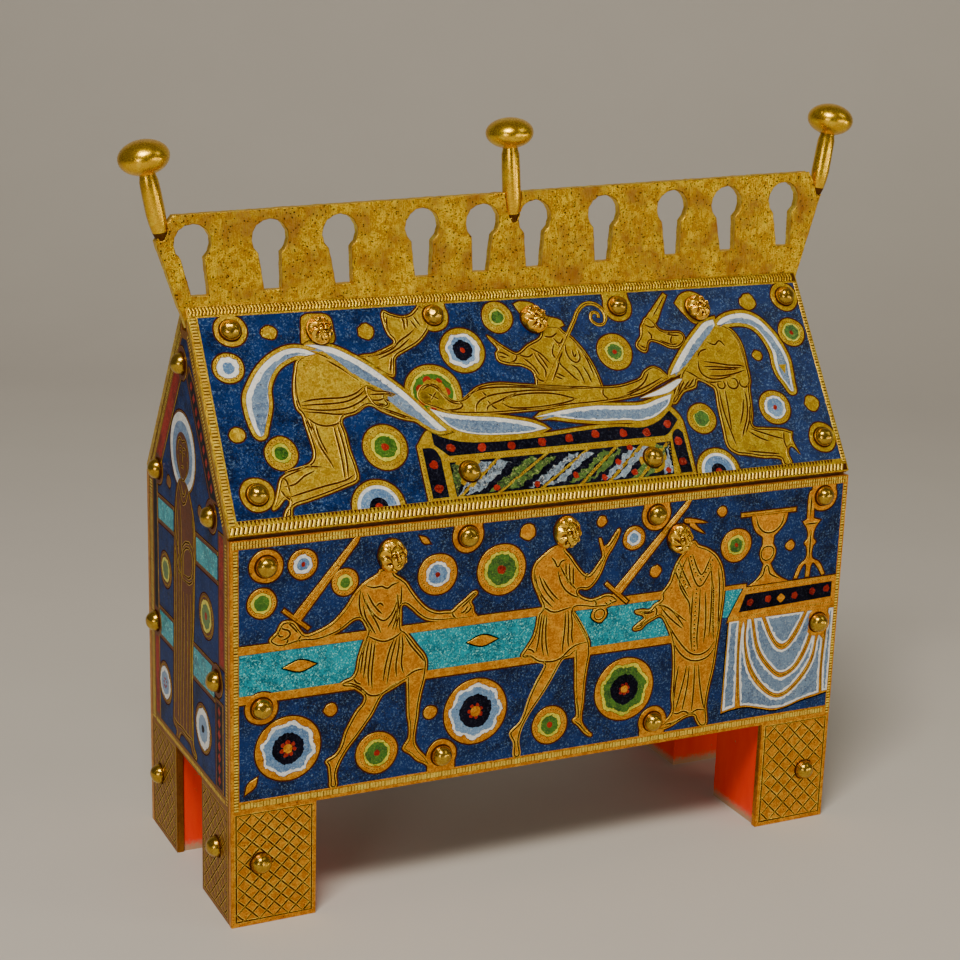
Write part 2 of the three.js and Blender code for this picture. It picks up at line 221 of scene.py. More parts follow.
# Enamels by the name that the pieces use: colours, how flecked, how cloudy, how glassy and how sound.
ENAMELS = {
    "blue": dict(
        name="lapis_blue", deep=colour(0.001, 0.005, 0.027), light=colour(0.003, 0.024, 0.132),
        speck=colour(0.14, 0.27, 0.5), flecks=0.62, ior=1.22),
    "end blue": dict(
        name="blue_of_end_plates", deep=colour(0.001, 0.006, 0.04),
        light=colour(0.003, 0.026, 0.15), speck=colour(0.08, 0.18, 0.38), flecks=0.35, ior=1.09),
    "turquoise": dict(
        name="turquoise", deep=colour(0.0, 0.095, 0.15), light=colour(0.0, 0.32, 0.43),
        speck=colour(0.3, 0.92, 0.9), flecks=1.0, cloud_mm=3.0, ior=1.24),
    "sky": dict(
        name="pale_blue", deep=colour(0.05, 0.13, 0.3), light=colour(0.16, 0.3, 0.52),
        speck=colour(0.72, 0.8, 0.86), flecks=0.5, cloud_mm=3.0),
    "white": dict(
        name="white", deep=colour(0.5, 0.57, 0.61), light=colour(0.88, 0.89, 0.86),
        speck=colour(0.94, 0.94, 0.92), flecks=0.6, cloud_mm=2.5),
    "cloth": dict(
        name="grey_blue", deep=colour(0.06, 0.11, 0.22), light=colour(0.17, 0.27, 0.42),
        speck=colour(0.58, 0.66, 0.72), flecks=0.5, cloud_mm=1.6, sound=0.34),
    "mixed green": dict(
        name="green_over_black", deep=colour(0.003, 0.006, 0.005), light=colour(0.07, 0.16, 0.02),
        speck=colour(0.5, 0.56, 0.18), flecks=0.8, cloud_mm=1.5),
    "mixed sky": dict(
        name="pale_blue_over_black", deep=colour(0.008, 0.012, 0.03),
        light=colour(0.24, 0.34, 0.45), speck=colour(0.8, 0.84, 0.82), flecks=0.8, cloud_mm=1.5),
    "green": dict(
        name="green", deep=colour(0.008, 0.045, 0.004), light=colour(0.05, 0.165, 0.01),
        speck=colour(0.34, 0.44, 0.06), flecks=0.5, cloud_mm=2.5),
    "yellow": dict(
        name="yellow_green", deep=colour(0.3, 0.34, 0.01), light=colour(0.74, 0.64, 0.035),
        speck=colour(0.86, 0.8, 0.2), flecks=0.5, cloud_mm=2.5),
    "red": dict(
        name="red", deep=colour(0.13, 0.005, 0.005), light=colour(0.34, 0.02, 0.013),
        speck=colour(0.8, 0.24, 0.1), ior=1.1),
    "black": dict(
        name="blue_black", deep=colour(0.001, 0.001, 0.003), light=colour(0.005, 0.005, 0.013),
        speck=colour(0.1, 0.12, 0.2), flecks=0.25, ior=1.08),
}
# Gildings: colour, how rubbed, rough, pitted, streaked, mottled and beaten they are.
GILDINGS = {
    "gilt": dict(
        name="gilding_of_wall_plates", gold=ORANGE_GILT, wear=0.35, rough=0.24, pits=0.7, streaks=0.5,
        mottle=0.78, beaten=1.1),
    "roof gilt": dict(
        name="gilding_of_roof_plates", gold=YELLOW_GILT, wear=0.25, rough=0.22, pits=0.7, streaks=0.5,
        mottle=0.78, beaten=1.1),
    # The end plates' gildings are darker than the walls' partly from wear and partly as painted shade on the
    # ends.
    "end gilt in painted shade": dict(
        name="gilding_of_end_plates_in_painted_shade", gold=colour(0.36, 0.16, 0.012), wear=0.7, rough=0.34, pits=0.7),
    "worn_gilt_and_painted_shade": dict(
        name="worn_copper_in_painted_shade", gold=colour(0.2, 0.05, 0.012), wear=0.6, rough=0.34,
        pits=0.8),
    "nail": dict(
        name="gilding_of_nail_heads", gold=colour(0.6, 0.4, 0.045), wear=0.25, rough=0.09, pits=0.3,
        streaks=0.1, beaten=0.3),
    # A brighter, yellower copy of the gilding: painted highlight on ribs, burrs, punch lips, bevelled edges
    # and the crest's keyhole walls.
    "rib": dict(
        name="gilding_of_ribs_as_painted_highlight", gold=colour(1.0, 0.72, 0.09), wear=0.15, rough=0.28, pits=0.3),
    # Dark brown gilding: painted shade in the hollows of the heads, at the knobs' feet and collars and in
    # the beds of ribbed borders, and also the solder under the crest's middle knob.
    "dull_gilt_and_painted_shade": dict(
        name="gilding_dulled_and_painted_shade_in_hollows", gold=colour(0.14, 0.055, 0.006), wear=0.4, rough=0.42),
    "crest": dict(
        name="gilding_of_pitted_crest", gold=colour(1.0, 0.73, 0.022), wear=0.92, rough=0.2, pits=1.0,
        streaks=2.5, mottle=1.0, beaten=1.5, pitted=0.3, brush=(1, 1, 0.12)),
    "cast": dict(
        name="gilding_of_rubbed_castings", gold=colour(0.93, 0.56, 0.05), wear=0.1, rough=0.12, pits=0.3,
        streaks=0.1, mottle=0.35, beaten=0.25),
    "knob": dict(
        name="gilding_of_knobs", gold=colour(0.92, 0.58, 0.03), wear=0.35, rough=0.14, streaks=0.2,
        mottle=0.45, beaten=0.35),
}
FINISH = {key: enamel(**facts) for key, facts in ENAMELS.items()}
FINISH.update((key, gilding(**facts)) for key, facts in GILDINGS.items())
# The dark grime finish doubles as painted shade and painted shadow wherever it is used.
FINISH.update(groove=grime_and_painted_shade_finish(), paint=painted_wood(), oak=bare_oak())


# -------------------- making meshes

class Work:
    """A piece in the making: the side it lies on, its points, its faces and the finish of each face."""

    def __init__(self, name, face=None):
        self.name = name
        self.face = face
        self.points = []
        self.faces = []
        self.used = []
        self.which = []

    def add(self, points, faces, finish):
        """Faces over new points. finish is one name, or a name for each face."""
        start = len(self.points)
        self.points.extend(points)
        self.faces.extend(tuple(start + i for i in face) for face in faces)
        for name in [finish] * len(faces) if isinstance(finish, str) else finish:
            if name not in self.used:
                self.used.append(name)
            self.which.append(self.used.index(name))

    def grid(self, rows, finish, closed=False):
        """Quads between rows of points; closed joins each row's end to its start."""
        wide = len(rows[0])
        reach = wide if closed else wide - 1
        faces = []
        names = []
        for row in range(len(rows) - 1):
            for i in range(reach):
                a, b = row * wide + i, row * wide + (i + 1) % wide
                faces.append((a, b, b + wide, a + wide))
                names.append(finish if isinstance(finish, str) else finish[row])
        self.add([point for row in rows for point in row], faces, names)

    def piece(self, slot, *replaced, crease=35):
        mesh = bpy.data.meshes.new(self.name)
        mesh.from_pydata([tuple(point) for point in self.points], [], self.faces)
        for name in self.used:
            mesh.materials.append(FINISH[name])
        mesh.polygons.foreach_set("material_index", self.which)
        mesh.shade_smooth()
        mesh.set_sharp_from_angle(angle=math.radians(crease))
        made = bpy.data.objects.new(self.name, mesh)
        bpy.context.scene.collection.objects.link(made)
        if replaced:
            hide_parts(*replaced)
        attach(made, "root")
        return made


class Face:
    """A flat side of the casket. u runs across and v up, in millimetres from its lower left corner."""

    def __init__(self, corner, across, up):
        self.corner = Vector(corner)
        self.across = Vector(across).normalized()
        self.up = Vector(up).normalized()
        self.out = self.across.cross(self.up)

    def at(self, u, v, lift=0.0):
        return self.corner + (self.across * u + self.up * v + self.out * lift) * MM

    def flat(self, point):
        """A point of the model as u, v and its height above the face."""
        way = Vector(point) - self.corner
        return Vector((way.dot(self.across), way.dot(self.up), way.dot(self.out))) / MM

    def reach(self, node):
        """The lowest and highest u, v and height that a CAD node reaches on this face."""
        spots = [self.flat(point) for point in corners_of(node)]
        return [Vector(pick(spot[axis] for spot in spots) for axis in range(3)) for pick in (min, max)]

    def loops(self, node):
        """The closed lines round a CAD node's flat surface on this face, the outer line first."""
        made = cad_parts[node]
        known = []
        ends = []
        for vertex in made.data.vertices:
            spot = self.flat(made.matrix_world @ vertex.co)
            near = [i for i, other in enumerate(known) if (other - spot).length < 0.03]
            ends.append(near[0] if near else len(known))
            if not near:
                known.append(spot)
        runs = set()
        for polygon in made.data.polygons:
            keys = [ends[i] for i in polygon.vertices]
            if max(abs(known[key].z) for key in keys) < 0.02 and polygon.normal.dot(self.out) > 0.99:
                runs.update(run for run in zip(keys, keys[1:] + keys[:1]) if run[0] != run[1])
        runs = {run for run in runs if run[::-1] not in runs}
        found = []
        while runs:
            start, end = runs.pop()
            line = [start]
            while end != start:
                line.append(end)
                step = next((run for run in runs if run[0] == end), (end, start))
                runs.discard(step)
                end = step[1]
            found.append([known[key].to_2d() for key in line])
        return sorted(found, key=lambda line: -abs(area(line)))


def corners_of(node):
    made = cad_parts[node]
    return [made.matrix_world @ vertex.co for vertex in made.data.vertices]


def roof_face(node, across):
    """The outer slope of a roof plate."""
    corners = corners_of(node)
    start = min(corners, key=lambda p: (round(p.z, 5), -abs(p.y), p.x * across[0]))
    low = min(p.z for p in corners)
    side = 1 if start.y > 0 else -1
    eaves = max((p for p in corners if p.z < low + 0.01), key=lambda p: abs(p.y) - 0.01 * p.x * across[0])
    top = max(corners, key=lambda p: (round(p.z, 5), p.y * side))
    return Face(eaves, across, (0, top.y - eaves.y, top.z - eaves.z)), eaves, top


# -------------------- outlines and inlay

def flow(points, closed=True, steps=4):
    """A smooth line through given points. A third value marks a sharp corner."""
    count = len(points)
    spots = [Vector(point[:2]) for point in points]
    sharp = [len(point) > 2 for point in points]

    def heading(i, j):
        """The way the line runs at point i on its stretch towards point j."""
        chord = spots[j] - spots[i]
        if sharp[i] or (not closed and i in (0, count - 1)):
            return chord
        through = spots[(i + 1) % count] - spots[i - 1]
        if (j - i) % count != 1:
            through = -through
        return through.normalized() * chord.length

    line = []
    for i in range(count if closed else count - 1):
        j = (i + 1) % count
        start, end = spots[i], spots[j]
        leave, arrive = heading(i, j), -heading(j, i)
        few = 1 if sharp[i] and sharp[j] else steps
        for step in range(few):
            t = step / few
            line.append(start * (2 * t**3 - 3 * t**2 + 1) + leave * (t**3 - 2 * t**2 + t)
                        + end * (3 * t**2 - 2 * t**3) + arrive * (t**3 - t**2))
    if not closed:
        line.append(spots[-1])
    return line


def ring(u, v, radius, lobes=0, depth=0.0, tall=1.0, turn=0.0):
    """A hand-cut circle, with soft lobes if wanted."""
    waver = 0.22
    sides = max(14, lobes * 6, int(radius * 7))
    line = []
    for i in range(sides):
        angle = TAU * i / sides
        drift = noise.noise(Vector((u * 3 + math.cos(angle), v * 3 + math.sin(angle), radius)))
        reach = radius * (1 + depth * math.cos(lobes * angle + turn)) + waver * drift
        line.append(Vector((u + reach * math.cos(angle), v + reach * tall * math.sin(angle))))
    return line


def wander(line, size, run=1.2, grain=0.5):
    """The line cut into short runs and moved a little, as if by hand."""
    made = []
    for a, b in zip(line, line[1:] + line[:1]):
        parts = max(1, int((b - a).length / run))
        for step in range(parts):
            spot = a.lerp(b, step / parts)
            shift = noise.noise_vector(Vector((spot.x * grain, spot.y * grain, 3.0)))
            made.append(spot + shift.to_2d() * size)
    return made


def slab(u0, v0, u1, v1):
    return [Vector((u0, v0)), Vector((u1, v0)), Vector((u1, v1)), Vector((u0, v1))]


def area(line):
    return sum(a.x * b.y - b.x * a.y for a, b in zip(line, line[1:] + line[:1])) / 2


def wound(line, hole=False):
    """The line run the way that keeps the metal on its left, without doubled points."""
    kept = [spot for i, spot in enumerate(line) if (spot - line[i - 1]).length > 0.02]
    return kept[::-1] if (area(kept) < 0) != hole else kept


def inset(line, distance):
    """The line moved to its left by a small distance."""
    moved = []
    count = len(line)
    for i, spot in enumerate(line):
        before = (spot - line[i - 1]).normalized()
        after = (line[(i + 1) % count] - spot).normalized()
        side = Vector((-before.y - after.y, before.x + after.x))
        moved.append(spot + side * distance * 2 / max(side.length_squared, 1.0))
    return moved


def raised(work, outline, low, high, finish, holes=(), bevel=0.05, rim=None, wall=None):
    """A flat-topped inlay with bevelled edges, from its foot to its top in millimetres."""
    loops = [wound(outline)] + [wound(hole, True) for hole in holes]
    tops = [inset(line, bevel) for line in loops]
    rims = [spot for line in loops for spot in line]
    crowns = [spot for line in tops for spot in line]
    count = len(rims)
    faces = []
    for a, b, c in tessellate_polygon([[spot.to_3d() for spot in line] for line in tops]):
        if (crowns[b] - crowns[a]).cross(crowns[c] - crowns[a]) < 0:
            b, c = c, b
        faces.append((a, b, c))
        faces.append((2 * count + a, 2 * count + c, 2 * count + b))
    names = [finish] * len(faces)
    start = 0
    for line in loops:
        for i in range(len(line)):
            a, b = start + i, start + (i + 1) % len(line)
            faces.append((count + a, count + b, b, a))
            faces.append((2 * count + a, 2 * count + b, count + b, count + a))
            names += [rim or finish, wall or finish]
        start += len(line)
    points = [work.face.at(*spot, high) for spot in crowns]
    points += [work.face.at(*spot, high - bevel) for spot in rims]
    points += [work.face.at(*spot, low) for spot in crowns]
    work.add(points, faces, names)


FOOT = -0.45  # how deep the inlays reach below a plate's surface
FIELD = -0.07  # the ground enamel's surface
SEAM = 0.12  # how far the dark line shows round glass
LAYER = 0.006  # how far each disc of a rosette stands above the one round it
# The section of a graver's cut, as offset and height: a groove between two burrs. The groove stays a hair
# above the surface and is dark as painted shade and grime; the burrs are bright as painted highlight.
CUT = ((0.4, 0.0), (0.25, 0.035), (0, 0.006), (-0.25, 0.035), (-0.4, 0.0))


def inlay(work, outline, top, finish, bevel=0.02):
    """Glass or metal set in a cell of the plate, polished down to one level."""
    raised(work, outline, FOOT, top, finish, bevel=bevel)


def bed(work, outline, finish="dull_gilt_and_painted_shade"):
    """The dark bed of a ribbed border: painted shade and grime between the ribs."""
    raised(work, outline, -0.2, 0.006, finish, bevel=0.003)


def reserve(work, outline, finish="gilt", lift=0.0, seam=0.34):
    """Metal left standing in the enamel, with the dark seam round it, grime and painted shade, and a
    bevelled edge in the bright rib gilding as painted highlight.
    """
    line = wound(outline)
    inlay(work, inset(line, -seam), lift - 0.04, "groove")
    raised(work, line, FOOT, lift, finish, bevel=0.11, rim="rib")


def engrave(work, points, wide=1.0, lift=0.0, steps=3, taper=True):
    """A graver's cut with the burr that it throws up on each side. Its middle is painted dark as shade and
    grime, its burrs painted bright as highlight.
    """
    line = flow(points, False, steps) if steps else points
    last = len(line) - 1
    rows = [[] for _ in CUT]
    for i, spot in enumerate(line):
        run = (line[min(i + 1, last)] - line[max(i - 1, 0)]).normalized()
        side = Vector((-run.y, run.x)) * wide
        if taper:
            side *= min(1.0, 0.4 + 3.5 * min(i, last - i) / last)
        for row, (offset, height) in zip(rows, CUT):
            row.append(work.face.at(*(spot + side * offset), lift + height))
    work.grid(rows[::-1], ["rib", "groove", "groove", "rib"])


def scribe(work, line, lift=0.0):
    """A cut all round a closed line."""
    engrave(work, line + line[:1], 0.8, lift, 0, False)


def gap_to(line, spot):
    """The shortest distance from a spot to a closed line."""
    best = 1e9
    for a, b in zip(line, line[1:] + line[:1]):
        run = b - a
        t = max(0.0, min(1.0, (spot - a).dot(run) / max(run.length_squared, 1e-9)))
        best = min(best, (a + run * t - spot).length)
    return best


def follow_edge(work, outline, gap=0.55, wide=0.8, lift=0.0):
    """A cut that follows an outline inside its edge, wherever the metal is wide enough."""
    edge = wound(outline)
    inner = inset(edge, gap)
    clear = [gap_to(edge, spot) > gap * 0.9 for spot in inner]
    runs = [[]]
    for spot, fine in zip(inner + inner[:1], clear + clear[:1]):
        if fine:
            runs[-1].append(spot)
        elif runs[-1]:
            runs.append([])
    for run in runs:
        if len(run) > 4:
            engrave(work, run, wide, lift, steps=0)


def punch(work, u, v, size=0.26, lift=0.0):
    """A ring punch's mark: a raised lip in the bright rib gilding as painted highlight, round a hole painted
    dark as shade.
    """
    rows = []
    for reach, rise in ((size, 0.0), (size * 0.7, 0.05), (size * 0.3, 0.01)):
        row = []
        for i in range(6):
            angle = TAU * i / 6
            row.append(work.face.at(u + reach * math.cos(angle), v + reach * math.sin(angle), lift + rise))
        rows.append(row)
    work.grid(rows, ["rib", "groove"], closed=True)
    work.add(rows[-1], [tuple(range(6))], "groove")


def punched(work, line, pitch=0.8, size=0.26, lift=0.0):
    """A row of punched marks along a line."""
    left = 0.0
    for a, b in zip(line, line[1:]):
        run = Vector(b) - Vector(a)
        while left < run.length:
            spot = Vector(a) + run.normalized() * left
            punch(work, spot.x, spot.y, size, lift)
            left += pitch
        left -= run.length


def rib(work, a, b, half, lift=0.0, high=0.06, finish="rib"):
    """A short bar with a narrow crown."""
    run = (b - a).normalized()
    side = Vector((-run.y, run.x))
    foot = [a - side * half, b - side * half, b + side * half, a + side * half]
    tips = [a + run * 0.08, b - run * 0.08]
    crown = [tips[0] - side * half * 0.4, tips[1] - side * half * 0.4]
    crown += [tips[1] + side * half * 0.4, tips[0] + side * half * 0.4]
    at = work.face.at
    rows = [[at(*spot, lift) for spot in foot], [at(*spot, lift + high) for spot in crown]]
    work.grid(rows, finish, closed=True)
    work.add(rows[1], [(0, 1, 2, 3)], finish)


def hatch(work, start, end, half, pitch=0.75, lean=0.0, fill=0.7):
    """A border of short ribs side by side across a line, on a dark bed."""
    start, end = Vector(start), Vector(end)
    run = (end - start).normalized()
    side = Vector((-run.y, run.x)) * half
    bed(work, [start - side, end - side, end + side, start + side])
    count = int((end - start).length / pitch)
    step = (end - start) / count
    for i in range(count):
        middle = start + step * (i + 0.5 + rng.uniform(-0.08, 0.08))
        reach = side * rng.uniform(0.9, 1.0) + run * lean
        rib(work, middle - reach, middle + reach, pitch * fill / 2)


def rosettes(work, rows, finish):
    """Rosettes from rows of place, radius, lobes, enamels from the rim inwards, and their radii."""
    for u, v, radius, lobes, glasses, *sizes in rows:
        rosette(work, u, v, radius, lobes, list(zip(sizes, glasses.split(", "))), finish)


def rosette(work, u, v, radius, lobes, discs, finish):
    """A gilt ring round nested discs of enamel, each a radius and a glass. A lobed one isn't punched."""
    reserve(work, ring(u, v, radius), finish, -0.01)
    for step, (size, glass) in enumerate(discs):
        wavy = lobes if step < 2 else 0
        line = wander(ring(u, v, size, wavy, 0.055, turn=u), min(0.46, size * 0.16), 0.4, 1.8)
        if step == 0:
            inlay(work, inset(wound(line), -SEAM), -0.006, "groove")
        if glass == "red" and size > 1.2:
            petals(work, u, v, size * 0.82, 0.002 + LAYER * step)
        else:
            inlay(work, line, 0.002 + LAYER * step, glass)
    widest = discs[0][0]
    if not lobes and radius - widest > 0.9:
        line = ring(u, v, (radius + widest) / 2)
        punched(work, line + line[:1], 0.72, 0.24, -0.01)


def petals(work, u, v, reach, top):
    """Seven spots of red glass in a ring."""
    for i in range(7):
        angle = TAU * i / 7 + u
        spot = ring(u + reach * math.cos(angle), v + reach * math.sin(angle), reach * rng.uniform(0.28, 0.4))
        inlay(work, spot, top, "red")


def boss(work, u, v, radius, finish="gilt"):
    """A plain gilt dot in the enamel."""
    reserve(work, wander(ring(u, v, radius), radius * 0.16, 0.7, 0.9), finish, -0.01)


# -------------------- the sides of the casket

LOW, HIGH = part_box("plate_front")
BACK_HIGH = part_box("plate_back")[1]
ROOF, EAVES, RIDGE = roof_face("plate_roof_front", (1, 0, 0))
ROOF_BACK = roof_face("plate_roof_back", (-1, 0, 0))[0]
FRONT = Face((LOW.x, LOW.y, 0), (1, 0, 0), (0, 0, 1))
BACK = Face((HIGH.x, BACK_HIGH.y, 0), (-1, 0, 0), (0, 0, 1))
LEFT = Face((LOW.x, BACK_HIGH.y, 0), (0, -1, 0), (0, 0, 1))
LENGTH = (HIGH.x - LOW.x) / MM
WALL = HIGH.z / MM
SLOPE = (RIDGE - EAVES).yz.length / MM
SHEET = 1.8  # thickness of the copper plates
HEM = 30.2  # height of the wall plates' lower edge, between the feet
SILL = 32.6  # where their enamel begins, above the lower border
BORDER = 2.1  # how wide the other borders are
BAND = (59.3, 69.4)  # low and high edge of the turquoise band behind the figures
STRIP = 1.1  # half the width of the gilt strips along it


def copper(work, node, window, finish, glass="blue"):
    """A plate's copper, cut from its CAD outline, with a sunk field for the enamel."""
    outline = work.face.loops(node)[0]
    raised(work, outline, -SHEET, FOOT, finish, bevel=0.02)
    raised(work, outline, FOOT - 0.02, 0, finish, [window], bevel=0.09)
    raised(work, inset(wound(window), -0.01), FOOT - 0.01, FIELD, glass, bevel=0.01)


def lozenges(work, u0, v0, u1, v1, pitch=3.7):
    """Engraved trellis inside a frame line, as on the feet."""
    engrave(work, [(u0, v0), (u1, v0), (u1, v1), (u0, v1), (u0, v0)], 0.9, steps=1, taper=False)
    wide, tall = u1 - u0, v1 - v0
    for sign in (1, -1):
        c = pitch * 0.6 if sign > 0 else pitch * 0.6 - wide
        top = wide + tall if sign > 0 else tall
        while c < top:
            ends = []
            for t in (0, wide):
                v = c - t * sign
                if 0 <= v <= tall:
                    ends.append((t, v))
            for v in (0, tall):
                t = (c - v) * sign
                if 0 < t < wide:
                    ends.append((t, v))
            if len(ends) == 2 and abs(ends[0][0] - ends[1][0]) > 1:
                shake = rng.uniform(-0.15, 0.15)
                line = [(u0 + ends[0][0], v0 + ends[0][1]), (u0 + ends[1][0], v0 + ends[1][1])]
                middle = ((line[0][0] + line[1][0]) / 2 + shake, (line[0][1] + line[1][1]) / 2 + shake)
                engrave(work, [line[0], middle, line[1]], 0.9, steps=3)
            c += pitch


def figure(work, outline, cuts, finish="gilt", gap=0.55, lift=0):
    """A figure reserved in the metal: its outline, the cut inside its edge, and its drapery cuts."""
    body = flow(outline)
    reserve(work, body, finish, lift)
    if gap:
        follow_edge(work, body, gap, 0.8, lift)
    for cut in cuts:
        engrave(work, cut, 1, lift)


# -------------------- front plate: the scene at the altar
# Outlines and cuts run through points of the plate, across and up. A third value marks a corner.

LEFT_SWORDSMAN = [
    (36.5, 85.6), (32.9, 83.7), (30.6, 81.4), (28.5, 78.3), (26.4, 76), (24.5, 74.5), (20.7, 73),
    (18.4, 72.8), (17.2, 74.1), (15.3, 76.4), (12.6, 76.4), (11.1, 74.1), (9.4, 72.2), (11.1, 70.5),
    (13, 70.2), (17.2, 70.9), (21.4, 70.7), (26, 71.8), (28.3, 73), (30.6, 74.5), (32.3, 74.5),
    (33.7, 72.2), (33.9, 71.1), (32.8, 68.4), (31.6, 64.6), (31.2, 61.9), (30.2, 60.3), (28.1, 59.6),
    (27.2, 58.8), (28.3, 57.9), (30.2, 57.5), (31.8, 56.5), (33.3, 55), (33.1, 53.4), (31.4, 51.5),
    (29.8, 48.9), (28.5, 46.4), (27.5, 43.1), (26, 41), (23.7, 39.7), (24.3, 38.2), (24.7, 34.7),
    (24.9, 32.6), (26.7, 32.6), (26.6, 35.9), (27.4, 38.5), (29.5, 42), (32.1, 45.1), (34.4, 48.1),
    (35.8, 50), (38.3, 54.4), (40.2, 55.4), (42.5, 56.5), (44.4, 57.4, 1), (44.6, 53.1), (44.8, 48.1),
    (45.2, 46.2), (45.2, 42.4), (44, 40.5), (43.8, 39.5), (45.9, 37.8), (47.5, 36.1), (49.8, 34.7),
    (51.7, 33.2), (50.1, 36.6), (48.2, 38.9), (47.1, 41.2), (47.3, 44.3), (47.8, 47.7), (48, 50.4),
    (48.6, 53.8), (49.4, 56.9), (49.8, 59.6), (49.8, 61.9), (49, 63.8), (47.5, 65.7), (45.5, 68.4),
    (44, 70.3), (43.1, 70.9), (42.9, 72.2), (42.9, 74.5), (43.2, 76.8), (45.2, 75.7), (47.1, 73.8),
    (49.4, 72.2), (52.4, 71.5), (55.9, 71.3), (57.8, 71.2), (62.9, 71.5), (62.1, 72.8), (61.9, 74.2),
    (61.3, 75.6), (62.9, 77.4), (62.2, 78.3), (59.4, 76.4), (57.4, 75), (56, 73.9), (54.4, 74),
    (52.4, 74.1), (49.8, 75.3), (47.5, 77.6), (45.5, 80.3), (44, 82.6), (42.5, 83.9), (41, 85),
    (40.4, 86.5), (37, 86.5)]
LEFT_SWORDSMAN_CUTS = [
    [(42.7, 81.8), (42.6, 78), (42, 74.4), (41.3, 70.8)],
    [(41.6, 76.4), (40.6, 73.8), (39.3, 71.8)],
    [(33.9, 81), (35.2, 78.4), (36.6, 76.5), (37.8, 75.3)],
    [(33.5, 82.9), (35.5, 82.2), (37.5, 82.3), (39, 81.6), (40.2, 82.3), (42, 82.8)],
    [(32.2, 82), (31.9, 80), (32, 77.5), (32.8, 75), (34, 73), (35.2, 71)],
    [(32.6, 81.3), (33.3, 79), (35, 76.2), (37, 74.2), (38.3, 73.6), (39.6, 74.3), (40.8, 76), (42, 79.5)],
    [(33.4, 79.6), (34.6, 76.5), (36.5, 73), (37.5, 70.6)],
    [(32.9, 78), (33.6, 75), (35, 72.5), (36.2, 70.4)],
    [(41.5, 80), (41.9, 77), (41.5, 74), (40.4, 71)],
    [(36.2, 77.4), (37.2, 78.1), (38.1, 77.3)],
    [(34.1, 70.3), (36.5, 68.9), (38.6, 68.3), (41, 68.9), (43, 70.2)],
    [(34, 69.6), (33.2, 67), (32.8, 64), (32.4, 61)],
    [(34.6, 69.2), (34, 66.5), (33.6, 63), (33.2, 59.6)],
    [(35.3, 68.9), (34.9, 65.5), (34.4, 61), (34.6, 57.5)],
    [(36.1, 68.7), (35.7, 65), (35.3, 60), (35.5, 56.6)],
    [(40.9, 68.5), (39.9, 66), (38.9, 62), (38.3, 58.2)],
    [(41.7, 68.8), (40.9, 66), (40.1, 62.5), (39.3, 57.2)],
    [(42.4, 69.2), (42.2, 66), (41.6, 62), (41.8, 58.8)],
    [(43, 69.5), (43.3, 66.5), (43, 62), (43.6, 59.5)],
    [(43.8, 69), (45.5, 66.2), (47.8, 63.4), (49, 61.8)],
    [(44.3, 58.4), (46.5, 59.6), (49.2, 59.9)],
    [(28.8, 59.1), (30.4, 58.6), (32.5, 57.3), (34.6, 55.2), (36.4, 54.7), (38.3, 55.1), (40.4, 56.4),
     (43.8, 57.8)],
    [(30.6, 60), (31.4, 58.8), (32.6, 58.2)],
    [(17.4, 72.6), (16.8, 71.8), (17.1, 71)],
    [(14.2, 76), (15.4, 74.7), (16.5, 73.4)],
    [(12.3, 75.7), (12.8, 74.8), (14.2, 74.2), (14.6, 73.2), (13.7, 72.3), (12.3, 72)],
    [(11.5, 74.4), (11.9, 73.1), (12.9, 72.9)],
    [(14.1, 72.1), (13.8, 71.2), (13, 70.4)],
    [(56.2, 73.5), (56.4, 72.6), (57.2, 71.7)],
    [(58.6, 74.3), (60, 75.4), (61.6, 76.9)],
    [(58.4, 72.9), (59.5, 73.3), (60.3, 74.5)],
    [(59.6, 72.6), (60.8, 73.4), (61.3, 74.4)]]
RIGHT_SWORDSMAN = [
    (83.2, 87), (80.5, 85.3), (78.3, 83.4), (77.5, 81.1), (77.9, 78.2), (79.1, 75.4), (80, 73.3),
    (80.7, 71.6), (79.5, 69.8), (79.1, 66.9), (78.3, 64.1), (76.7, 61.7), (75.3, 59.1), (78.1, 58.4),
    (80, 57), (81.7, 56.3), (81.4, 55.1), (79.5, 51.8), (77.6, 47.6), (76.5, 44), (75.3, 41.7), (73.2, 40),
    (72.7, 38.9), (73.9, 36.3), (74.1, 32.6), (76.2, 32.6), (75.8, 36.7), (76.5, 40), (78.6, 43.8),
    (81.4, 47.6), (84.2, 51.8), (86.8, 56.3), (87.6, 57), (89, 57.3), (90.3, 58.2, 1), (90.6, 53.7),
    (90.8, 49), (91.3, 44.8), (91.6, 41), (90.6, 40), (92.3, 38.2), (94.6, 35.6), (96.5, 34.9),
    (95.1, 36.7), (93.4, 39.6), (93.7, 44.3), (93.9, 49.5), (94.4, 54.2), (94.9, 57.5), (94.6, 60.8),
    (93.7, 62.7), (91.8, 66), (90.1, 68.8), (89.9, 70.2), (92.7, 70), (95.1, 69.5), (97.4, 69.4),
    (99.2, 69.3), (100.6, 69.9), (102, 70.3), (102, 71.4), (100.4, 72.6), (98.4, 72.9), (96.2, 72.3),
    (94.2, 72.1), (91.3, 73.5), (90.8, 74.9), (93.2, 74.7), (95.1, 75.9), (97, 78.7), (98.6, 82.7),
    (100.3, 85.3), (101.9, 88.9), (101.5, 89.8), (100.3, 88.6), (97.7, 85.6), (96.5, 87.7), (95.9, 87.7),
    (96.5, 85.3), (97, 83), (96, 81.5), (93.7, 78.7), (92.3, 79), (90.1, 81.5), (88, 84.4), (86.6, 86),
    (86.6, 87.4)]
